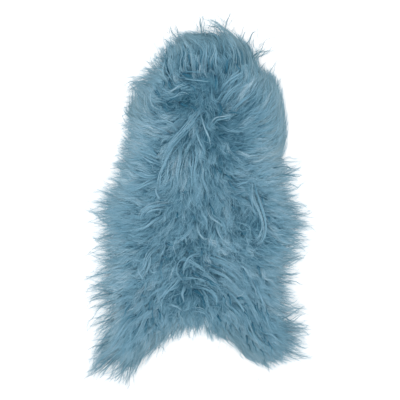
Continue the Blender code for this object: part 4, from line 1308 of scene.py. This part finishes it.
        ("gap, rump, ninth", 0.003, -7.0, (0.036, -0.294), (0.048, -0.291), (0.062, -0.294)),
        ("gap, under the crossing line", 0.004, -7.5, (0.104, -0.265), (0.114, -0.266), (0.124, -0.270)),
        ("gap, rump, tenth", 0.0035, -5.0, (0.122, -0.284), (0.132, -0.285), (0.144, -0.292)),
        ("gap, rump, eleventh", 0.004, -7.0, (0.126, -0.302), (0.134, -0.316), (0.142, -0.332)),
        ("gap, rump, twelfth", 0.0055, -5.0, (0.048, -0.318), (0.055, -0.330), (0.060, -0.342)),
        ("gap, rump, right", 0.0035, -5.0, (0.118, -0.184), (0.125, -0.202), (0.134, -0.222)),
        ("gap, rump, far right", 0.0035, -5.0, (0.160, -0.176), (0.165, -0.190), (0.170, -0.204)),
        ("gap, left, first", 0.0035, -7.0, (-0.108, -0.150), (-0.098, -0.155), (-0.088, -0.157)),
        ("gap, left, second", 0.0055, -3.5, (-0.112, -0.164), (-0.114, -0.190), (-0.110, -0.226)),
        ("gap, middle, lower", 0.0045, -6.0, (-0.036, -0.142), (-0.028, -0.136), (-0.018, -0.140)),
        ("gap, middle, lower right", 0.003, -6.0, (0.000, -0.128), (0.002, -0.138), (0.000, -0.150)),
        ("gap, left hip", 0.0035, -6.0, (-0.170, -0.260), (-0.162, -0.264), (-0.154, -0.268)),
        ("gap, left hind leg", 0.0035, -7.0, (-0.149, -0.304), (-0.145, -0.288), (-0.139, -0.272)),
        ("gap, left hind leg, lower", 0.0045, -5.0, (-0.126, -0.344), (-0.120, -0.356), (-0.110, -0.368)),
        ("gap, right hind leg, first", 0.003, -7.0, (0.157, -0.284), (0.162, -0.302), (0.169, -0.322)),
        ("gap, right hind leg, second", 0.003, -7.0, (0.169, -0.296), (0.175, -0.316), (0.181, -0.338)),
        ("gap, right hind leg, third", 0.003, -7.0, (0.183, -0.298), (0.188, -0.314), (0.194, -0.332)),
        ("gap, right hind leg, fourth", 0.0045, -7.0, (0.145, -0.338), (0.150, -0.354), (0.155, -0.370)),
        ("gap, right hind leg, hook", 0.003, -7.5,
         (0.167, -0.340), (0.169, -0.354), (0.176, -0.364), (0.190, -0.369)),
        ("gap, right hind leg, inner", 0.0035, -7.0, (0.085, -0.344), (0.088, -0.356), (0.087, -0.370)),
        ("gap, right hind leg, inner, second", 0.003, -5.0,
         (0.074, -0.336), (0.071, -0.352), (0.076, -0.370)),
        ("gap, right hind leg, fifth", 0.0035, -6.0, (0.114, -0.358), (0.117, -0.374), (0.124, -0.390)),
        ("gap, right hind leg, sixth", 0.0035, -7.0, (0.131, -0.378), (0.133, -0.396), (0.139, -0.412)),
        ("gap, right hind leg, seventh", 0.0035, -7.0, (0.137, -0.404), (0.142, -0.418), (0.152, -0.434)),
        ("gap, right hind leg, eighth", 0.0025, -6.0, (0.147, -0.394), (0.153, -0.410), (0.162, -0.426)),
        ("gap, right hind leg, ninth", 0.0035, -5.0, (0.179, -0.380), (0.186, -0.394), (0.198, -0.406)),
        ("gap, right hind leg, tenth", 0.0025, -5.0, (0.194, -0.394), (0.202, -0.410), (0.206, -0.428)),
        ("gap, right hind leg, foot", 0.003, -5.0, (0.174, -0.418), (0.181, -0.431), (0.192, -0.440)),
        ("gap, cap, first", 0.003, -6.0,
         (-0.061, 0.386), (-0.064, 0.408), (-0.059, 0.430), (-0.065, 0.458)),
        ("gap, cap, second", 0.0025, -6.0,
         (-0.050, 0.390), (-0.052, 0.410), (-0.046, 0.434), (-0.052, 0.460)),
        ("gap, cap, third", 0.0025, -4.0, (-0.032, 0.400), (-0.031, 0.424), (-0.038, 0.450)),
        ("gap, cap, fourth", 0.0045, -6.0, (-0.006, 0.384), (-0.008, 0.398), (-0.012, 0.412)),
        ("gap, cap, fifth", 0.003, -5.0, (0.020, 0.382), (0.023, 0.400), (0.021, 0.422)),
        ("gap, cap, sixth", 0.0035, -6.0, (0.033, 0.386), (0.032, 0.400), (0.036, 0.416)),
        ("gap, cap, seventh", 0.0025, -4.0, (0.000, 0.400), (0.002, 0.430), (-0.008, 0.462)),
        ("gap, cap, left", 0.003, -5.0, (-0.096, 0.384), (-0.102, 0.404), (-0.099, 0.426)),
        ("gap, cap, hollow", 0.0075, -8.5, (0.066, 0.374), (0.072, 0.394), (0.075, 0.420)),
        ("gap, under the big lock", 0.0045, -8.5, (0.096, 0.400), (0.104, 0.388), (0.116, 0.372)),
        ("gap, big lock, first", 0.0025, -7.0, (0.107, 0.396), (0.106, 0.426), (0.096, 0.454)),
        ("gap, big lock, second", 0.0025, -6.0, (0.121, 0.396), (0.118, 0.432), (0.105, 0.464)),
        ("gap, big lock, third", 0.0025, -5.0, (0.134, 0.400), (0.131, 0.430), (0.120, 0.460)),
        ("gap, crease", 0.005, -8.5, (-0.054, 0.370), (-0.038, 0.364), (-0.018, 0.359)),
        ("gap, crease, right", 0.004, -7.0, (0.044, 0.368), (0.046, 0.346), (0.042, 0.324)),
        ("gap, crease, left", 0.004, -7.0, (-0.089, 0.354), (-0.087, 0.338), (-0.080, 0.324)),
        ("gap, crease, far left", 0.003, -5.0, (-0.110, 0.354), (-0.108, 0.338), (-0.112, 0.324)),
        ("gap, left shoulder", 0.0035, -7.0, (-0.129, 0.326), (-0.122, 0.312), (-0.110, 0.303)),
        ("gap, whorl, first", 0.004, -7.0, (-0.108, 0.276), (-0.096, 0.266), (-0.084, 0.262)),
        ("gap, whorl, second", 0.005, -7.0, (-0.060, 0.290), (-0.046, 0.281), (-0.030, 0.276)),
        ("gap, whorl, third", 0.0045, -8.5, (-0.030, 0.284), (-0.018, 0.273), (-0.006, 0.264)),
        ("gap, whorl, fourth", 0.0035, -5.0, (-0.092, 0.299), (-0.074, 0.302), (-0.054, 0.296)),
        ("gap, whorl, fifth", 0.0055, -6.0, (0.050, 0.286), (0.055, 0.266), (0.050, 0.242)),
        ("gap, whorl, upper", 0.0045, -5.0, (-0.032, 0.339), (-0.018, 0.328), (-0.010, 0.312)),
        ("gap, right shoulder", 0.0035, -4.0, (0.080, 0.263), (0.100, 0.259), (0.122, 0.260)),
        # The plume that stands out at the left shoulder.
        ("left shoulder plume, top", 0.003, 0.0,
         (-0.120, 0.368), (-0.150, 0.367), (-0.180, 0.361), (-0.206, 0.353)),
        ("left shoulder plume", 0.004, 0.0,
         (-0.128, 0.352), (-0.158, 0.352), (-0.188, 0.352), (-0.214, 0.351)),
        ("left shoulder plume, hook", 0.0025, 0.0,
         (-0.150, 0.346), (-0.172, 0.344), (-0.190, 0.336), (-0.200, 0.324)),
        ("left shoulder, hooked tips", 0.0025, 0.0,
         (-0.128, 0.392), (-0.142, 0.390), (-0.158, 0.392), (-0.176, 0.386)),
        # Dark lines of painted shade down the left hind leg.
        ("left hind leg, dark line, first", 0.003, -7.0,
         (-0.134, -0.294), (-0.136, -0.312), (-0.132, -0.330), (-0.137, -0.348)),
        ("left hind leg, dark line, second", 0.003, -5.0,
         (-0.152, -0.330), (-0.158, -0.344), (-0.156, -0.358), (-0.164, -0.374)),
        ("left hind leg, dark line, third", 0.003, -5.0,
         (-0.170, -0.306), (-0.178, -0.318), (-0.192, -0.330), (-0.206, -0.346)),
        ("left hind leg, dark line, fourth", 0.0035, -6.0,
         (-0.118, -0.298), (-0.112, -0.312), (-0.114, -0.328), (-0.108, -0.344)),
        ("left hind leg, dark line, fifth", 0.003, -5.0,
         (-0.174, -0.350), (-0.184, -0.362), (-0.188, -0.378), (-0.198, -0.392)),
        ("left hind leg, dark line, sixth", 0.003, -5.0,
         (-0.148, -0.372), (-0.150, -0.390), (-0.158, -0.406)),
        ("left hind leg, dark line, seventh", 0.003, -5.0,
         (-0.198, -0.288), (-0.210, -0.300), (-0.214, -0.314), (-0.228, -0.326)),
        ("left hind leg, dark line, eighth", 0.003, -5.0,
         (-0.186, -0.316), (-0.202, -0.322), (-0.216, -0.336), (-0.230, -0.342)),
    )
]
STREAK_SPREAD = 0.0013  # a main lock has a streak for each of these in its spread, and at least two
MAIN_ROOT = 0.25  # its root starts this far before its line, in times the line's length
MAIN_TIP = 0.15  # and its tip ends this far past it
MAIN_SPREAD = 1.4  # streaks root up to this many spreads from the line
MAIN_CLOSING = 0.7  # and close in on it by this share by their tips
SWAY = 0.0032  # how far a streak swings to each side by its tip
SWAYS = 1.9  # and how often
MAIN_LEVELS = (0.88, 1.04)
STRONGLY_PAINTED = 2.2  # rows paler or darker than this lie on top of the rest
STRONGLY_PAINTED_LIFT = 0.13  # by this share of the wool's depth
MAIN_TINT = 0.47
LIGHT_AND_SHADE_TINT = 0.03  # each 1 of pale moves it by this
LIGHT_AND_SHADE_TINT_LUCK = 0.08  # and by up to this much more
PAINTED_SHADE_DARKER = 0.10  # rows with pale below 0 are darker by this too
MAIN_TINT_SPREAD = 0.08


def smooth_line(points, count):
    """Evenly spaced places on a smooth open curve through the points."""
    rows = np.array([2 * points[0] - points[1], *points, 2 * points[-1] - points[-2]])
    curve = curve_through(rows[:-3], rows[1:-2], rows[2:-1], rows[3:])
    curve = np.vstack([curve, points[-1:]])
    along = np.r_[0.0, np.cumsum(np.hypot(*np.diff(curve, axis=0).T))]
    places = np.linspace(0.0, along[-1], count)
    return np.column_stack([np.interp(places, along, column) for column in curve.T])


def drawn_out(line):
    """The line with a root under the wool before it, and with a longer tip than its strands reach."""
    root_run = line[0] - line[1]
    tip_run = line[-1] - line[-2]
    length = np.hypot(*np.diff(line, axis=0).T).sum()
    root = line[0] + MAIN_ROOT * length * root_run / np.hypot(*root_run)
    tip = line[-1] + MAIN_TIP * length * tip_run / np.hypot(*tip_run)
    return np.vstack([root, line, tip])


main_dice = np.random.default_rng(31)
main_lines = [smooth_line(drawn_out(np.array(lock.line)), PATH_STEPS + 1) for lock in MAIN_LOCKS]
main_streaks = [max(2, round(lock.spread / STREAK_SPREAD)) for lock in MAIN_LOCKS]
main_path = np.repeat(main_lines, main_streaks, axis=0)
main_spread = np.repeat([lock.spread for lock in MAIN_LOCKS], main_streaks)
main_light_and_shade = np.repeat([lock.pale for lock in MAIN_LOCKS], main_streaks)
streaks = len(main_path)
main_side = np.stack([outward(path) for path in main_path])
main_side[:, 0], main_side[:, -1] = main_side[:, 1], main_side[:, -2]
main_t = np.linspace(0.0, 1.0, PATH_STEPS + 1)
main_sway = np.sin(2 * np.pi * (SWAYS * main_t[None] + main_dice.uniform(0, 1, (streaks, 1))))
main_sway = SWAY * main_sway * main_t[None]
main_offset = MAIN_SPREAD * main_spread * main_dice.uniform(-1.0, 1.0, streaks)
main_offset = main_offset[:, None] * (1.0 - MAIN_CLOSING * main_t**1.5)
main_path = main_path + main_side * (main_offset + main_sway)[..., None]
main_luck = main_dice.uniform(0.0, 1.0, streaks) ** 2
# Painted highlight: pale rows get a paler tint.
main_tint = MAIN_TINT + main_light_and_shade * (LIGHT_AND_SHADE_TINT + LIGHT_AND_SHADE_TINT_LUCK * main_luck)
# Painted shade: rows below 0, and most of all the dark gaps, are darker still.
main_tint -= PAINTED_SHADE_DARKER * (main_light_and_shade < 0.0)
main_level = main_dice.uniform(*MAIN_LEVELS, streaks)
# The strongest painted highlights and the painted shade of the dark gaps lie on top, so that they show.
main_locks = Locks(
    path=main_path,
    level=main_level + STRONGLY_PAINTED_LIFT * (np.abs(main_light_and_shade) > STRONGLY_PAINTED),
    tint=main_tint + main_dice.normal(0, MAIN_TINT_SPREAD, streaks),
    fade=faded_at(main_path[:, SHADE_AT]),
    rough=np.full(streaks, 1.2),
    tips=np.ones(streaks),
    alike=np.full(streaks, 0.5),
)
strand_piece(
    "main_locks",
    main_locks,
    each=5,
    steps=9,
    width=0.0011,
    spread=0.0013,
    thinning=None,
    dice=main_dice,
)

# ---------------------------------------------------------------- stray hairs
# Single hairs that lie over the rest from end to end, a little longer than the locks. They keep to
# no lock, and cross each other where the wool is curly.

STRAY_PITCH = 0.0110
STRAY_LENGTHS = (0.9, 1.5)  # in times length
STRAY_TURN = 3.0  # degrees that they turn from the way the wool lies
STRAY_MESSY_TURN = 1.1  # and this many more for each degree of mess
STRAY_BEND = 2.6  # degrees of bend for each degree of mess
STRAY_SWINGS = (0.3, 1.6)
STRAY_WAVELENGTHS = (0.035, 0.075)
STRAY_LEVELS = (0.88, 1.08)
# Painted light and shade: a stray hair's tint is moved by the shade of the place where it roots.
STRAY_TINT = 0.53
STRAY_SHADE_TINT = 0.12  # how far shade moves it
STRAY_TINT_SPREAD = 0.05

stray_dice = np.random.default_rng(61)
stray_roots = scattered(root_ring, STRAY_PITCH, stray_dice)
strays = len(stray_roots)
_, stray_length, stray_wave, stray_mess, stray_shade = lie_at(stray_roots)
stray_turn = np.radians(STRAY_TURN + STRAY_MESSY_TURN * stray_mess)
stray_hairs = Locks(
    path=paths(
        stray_roots,
        stray_length * stray_dice.uniform(*STRAY_LENGTHS, strays),
        stray_turn * stray_dice.normal(0.0, 1.0, strays),
        np.radians(STRAY_BEND * stray_mess) * stray_dice.normal(0.0, 1.0, strays),
        np.radians(stray_wave) * stray_dice.uniform(*STRAY_SWINGS, strays),
        stray_dice.uniform(*STRAY_WAVELENGTHS, strays),
        stray_dice.uniform(0.0, 2 * np.pi, strays),
    ),
    level=stray_dice.uniform(*STRAY_LEVELS, strays),
    tint=STRAY_TINT + STRAY_SHADE_TINT * stray_shade + stray_dice.normal(0.0, STRAY_TINT_SPREAD, strays),
    fade=faded_at(stray_roots),
    rough=np.full(strays, 0.5),
    tips=np.ones(strays),
    alike=np.zeros(strays),
)
strand_piece(
    "stray_hairs",
    stray_hairs,
    each=1,
    steps=9,
    width=0.0010,
    spread=0.0010,
    thinning=LONG_WOOL_THINNING,
    dice=stray_dice,
)

# ---------------------------------------------------------------- wisps at the rim
# The longest hairs at a feathered rim, which hang out past it in thin pointed wisps, and single
# fine hairs among them. They are what makes the rug's edge fade out.

ROOTED_WITHIN = 0.075  # they root this near to the edge of the wool, but never right at it
NOT_ROOTED_WITHIN = 0.5  # of the way from the edge of the wool to the skin's
RIM_TURN_SPREAD = 14.0  # degrees
RIM_SWING = 20.0  # degrees
RIM_SWINGS = (0.3, 1.5)  # least and most, in times that
RIM_WAVELENGTHS = (0.040, 0.070)
RIM_LEVELS = (0.15, 0.90)
RIM_TINT = 0.52
RIM_TINT_SPREAD = 0.10
RIM_FADE = 0.6


def rim_locks(pitch, lengths, bend, tips, alike, dice):
    """Locks that grow near the rim and hang out past it. bend is in degrees, tips and alike as in Locks."""
    roots = scattered(wool_ring, pitch, dice)
    past, near = past_rim(roots)
    roots = roots[(past > -ROOTED_WITHIN) & (past < -NOT_ROOTED_WITHIN * skin_inset[near])]
    count = len(roots)
    return Locks(
        path=paths(
            roots,
            dice.uniform(*lengths, count),
            np.radians(RIM_TURN_SPREAD) * dice.normal(0.0, 1.0, count),
            np.radians(bend) * dice.normal(0.0, 1.0, count),
            np.radians(RIM_SWING) * dice.uniform(*RIM_SWINGS, count),
            dice.uniform(*RIM_WAVELENGTHS, count),
            dice.uniform(0.0, 2 * np.pi, count),
        ),
        level=dice.uniform(*RIM_LEVELS, count),
        tint=dice.normal(RIM_TINT, RIM_TINT_SPREAD, count),
        fade=np.full(count, RIM_FADE),
        rough=np.ones(count),
        tips=np.full(count, tips),
        alike=np.full(count, alike),
    )


fine_dice = np.random.default_rng(41)
strand_piece(
    "rim_hairs",
    rim_locks(pitch=0.0068, lengths=(0.100, 0.170), bend=25, tips=1.0, alike=0.0, dice=fine_dice),
    each=2,
    steps=6,
    width=0.0009,
    spread=0.0020,
    thinning=Thinning(furthest=1.6, inwards=2.6, long_tips=0.7),
    dice=fine_dice,
)
wisp_dice = np.random.default_rng(43)
strand_piece(
    "rim_wisps",
    rim_locks(pitch=0.0135, lengths=(0.110, 0.170), bend=35, tips=1.3, alike=0.85, dice=wisp_dice),
    each=6,
    steps=8,
    width=0.0009,
    spread=0.0035,
    thinning=Thinning(furthest=1.6, inwards=2.6, long_tips=0.6),
    dice=wisp_dice,
)

# ---------------------------------------------------------------- loose hairs
# Long hairs that have worked loose and stand out past the rim in small bunches. Most are at the neck
# and at the tips of the hind legs.

HairRow = namedtuple("HairRow", "place x y heading length curl hairs")
# heading is the way a hair sets off and curl how far it turns on its way, both in degrees. hairs is
# how many stand there.
LOOSE_HAIRS = [
    HairRow(*row)
    for row in (
        ("neck, top", 0.004, 0.488, 100, 0.060, 20, 6),
        ("neck, top, right of middle", 0.020, 0.488, 96, 0.045, -30, 4),
        ("big lock, tips", 0.070, 0.500, 140, 0.060, 25, 9),
        ("big lock, back", 0.075, 0.495, 82, 0.055, -20, 4),
        ("big lock, right", 0.092, 0.490, 70, 0.050, 30, 4),
        ("neck, left of the top", -0.062, 0.478, 125, 0.048, -25, 6),
        ("neck, left end of the top", -0.085, 0.466, 120, 0.050, -30, 5),
        ("neck, left side", -0.104, 0.438, 150, 0.040, 40, 5),
        ("neck, left side, lower", -0.120, 0.400, 140, 0.045, 45, 6),
        ("left shoulder", -0.135, 0.378, 160, 0.060, 30, 6),
        ("left shoulder tuft", -0.175, 0.352, 172, 0.060, 25, 8),
        ("left shoulder tuft, below", -0.188, 0.336, 210, 0.035, 40, 6),
        ("left foreleg", -0.195, 0.310, 185, 0.040, 35, 7),
        ("left flank, upper", -0.212, 0.235, 165, 0.040, -30, 7),
        ("left flank", -0.220, 0.160, 160, 0.040, -20, 6),
        ("left waist", -0.250, 0.060, 165, 0.050, 20, 6),
        ("left hip", -0.285, -0.270, 190, 0.060, 15, 8),
        ("left hip, lower", -0.285, -0.340, 205, 0.050, 20, 7),
        ("left hind leg, foot", -0.290, -0.455, 215, 0.070, 15, 12),
        ("left hind leg, tip", -0.230, -0.500, 245, 0.060, -20, 11),
        ("left hind leg, inner tip", -0.204, -0.492, 262, 0.065, 25, 9),
        ("left hind leg, inner", -0.118, -0.405, 290, 0.080, -60, 4),
        ("tail", -0.040, -0.368, 255, 0.030, 30, 5),
        ("tail, right", 0.070, -0.398, 262, 0.055, -50, 4),
        ("right hind leg, tip", 0.192, -0.462, 285, 0.035, 20, 4),
        ("right hind leg, foot", 0.275, -0.428, 345, 0.060, 10, 8),
        ("right hind leg, corner", 0.282, -0.370, 355, 0.050, 20, 7),
        ("right hind leg, outer", 0.268, -0.300, 5, 0.055, 25, 8),
        ("right hip", 0.262, -0.210, 355, 0.050, 15, 6),
        ("right bump", 0.285, -0.060, 358, 0.045, 20, 6),
        ("right waist", 0.245, 0.095, 15, 0.050, 25, 8),
        ("right shoulder", 0.222, 0.340, 55, 0.050, 30, 5),
        ("right shoulder, upper", 0.196, 0.372, 75, 0.055, -40, 8),
        ("neck, right side", 0.162, 0.425, 38, 0.055, -50, 6),
        ("neck, right side, upper", 0.158, 0.438, 45, 0.075, -15, 5),
        ("neck, right", 0.138, 0.466, 70, 0.040, 25, 4),
    )
]
HAIR_SCATTER = 0.011  # how far hairs root from their row's place
HAIR_LENGTHS = (0.6, 1.6)  # in times length
HAIR_STRAY = 16.0  # degrees
HAIR_CURL_SPREAD = 0.8  # how much more or less than its row's a hair curls, as a share of it
TIP_CURL = 1.6  # how far a hair has turned at its tip, in times curl
HAIR_WAVE = 14.0  # degrees to each side
HAIR_WAVES = 1.3
HAIR_LEVELS = (0.4, 1.0)
HAIR_TINT = 0.48
HAIR_TINT_SPREAD = 0.10

hair_dice = np.random.default_rng(51)
hair_rows = [row for row in LOOSE_HAIRS for _ in range(row.hairs)]
hairs = len(hair_rows)
hair_start = np.array([(row.x, row.y) for row in hair_rows])
hair_start = hair_start + hair_dice.normal(0.0, HAIR_SCATTER, (hairs, 2))
hair_length = np.array([row.length for row in hair_rows]) * hair_dice.uniform(*HAIR_LENGTHS, hairs)
hair_curl = np.array([row.curl for row in hair_rows]) * hair_dice.normal(1.0, HAIR_CURL_SPREAD, hairs)
hair_heading = np.array([row.heading for row in hair_rows]) + hair_dice.normal(0.0, HAIR_STRAY, hairs)
hair_t = (np.arange(PATH_STEPS) + 0.5) / PATH_STEPS
hair_wave = np.sin(2 * np.pi * (HAIR_WAVES * hair_t[None] + hair_dice.uniform(0, 1, (hairs, 1))))
hair_turned = TIP_CURL * hair_curl[:, None] * hair_t[None] ** 1.5
hair_way = np.radians(hair_heading[:, None] + hair_turned + HAIR_WAVE * hair_wave)
hair_run = np.dstack([np.cos(hair_way), np.sin(hair_way)]) * (hair_length / PATH_STEPS)[:, None, None]
hair_places = hair_start[:, None] + np.cumsum(hair_run, axis=1)
loose_hairs = Locks(
    path=np.concatenate([hair_start[:, None], hair_places], axis=1),
    level=hair_dice.uniform(*HAIR_LEVELS, hairs),
    tint=hair_dice.normal(HAIR_TINT, HAIR_TINT_SPREAD, hairs),
    fade=np.ones(hairs),
    rough=np.ones(hairs),
    tips=np.ones(hairs),
    alike=np.full(hairs, 0.5),
)
strand_piece(
    "loose_hairs",
    loose_hairs,
    each=2,
    steps=10,
    width=0.0008,
    spread=0.0030,
    thinning=None,
    dice=hair_dice,
)
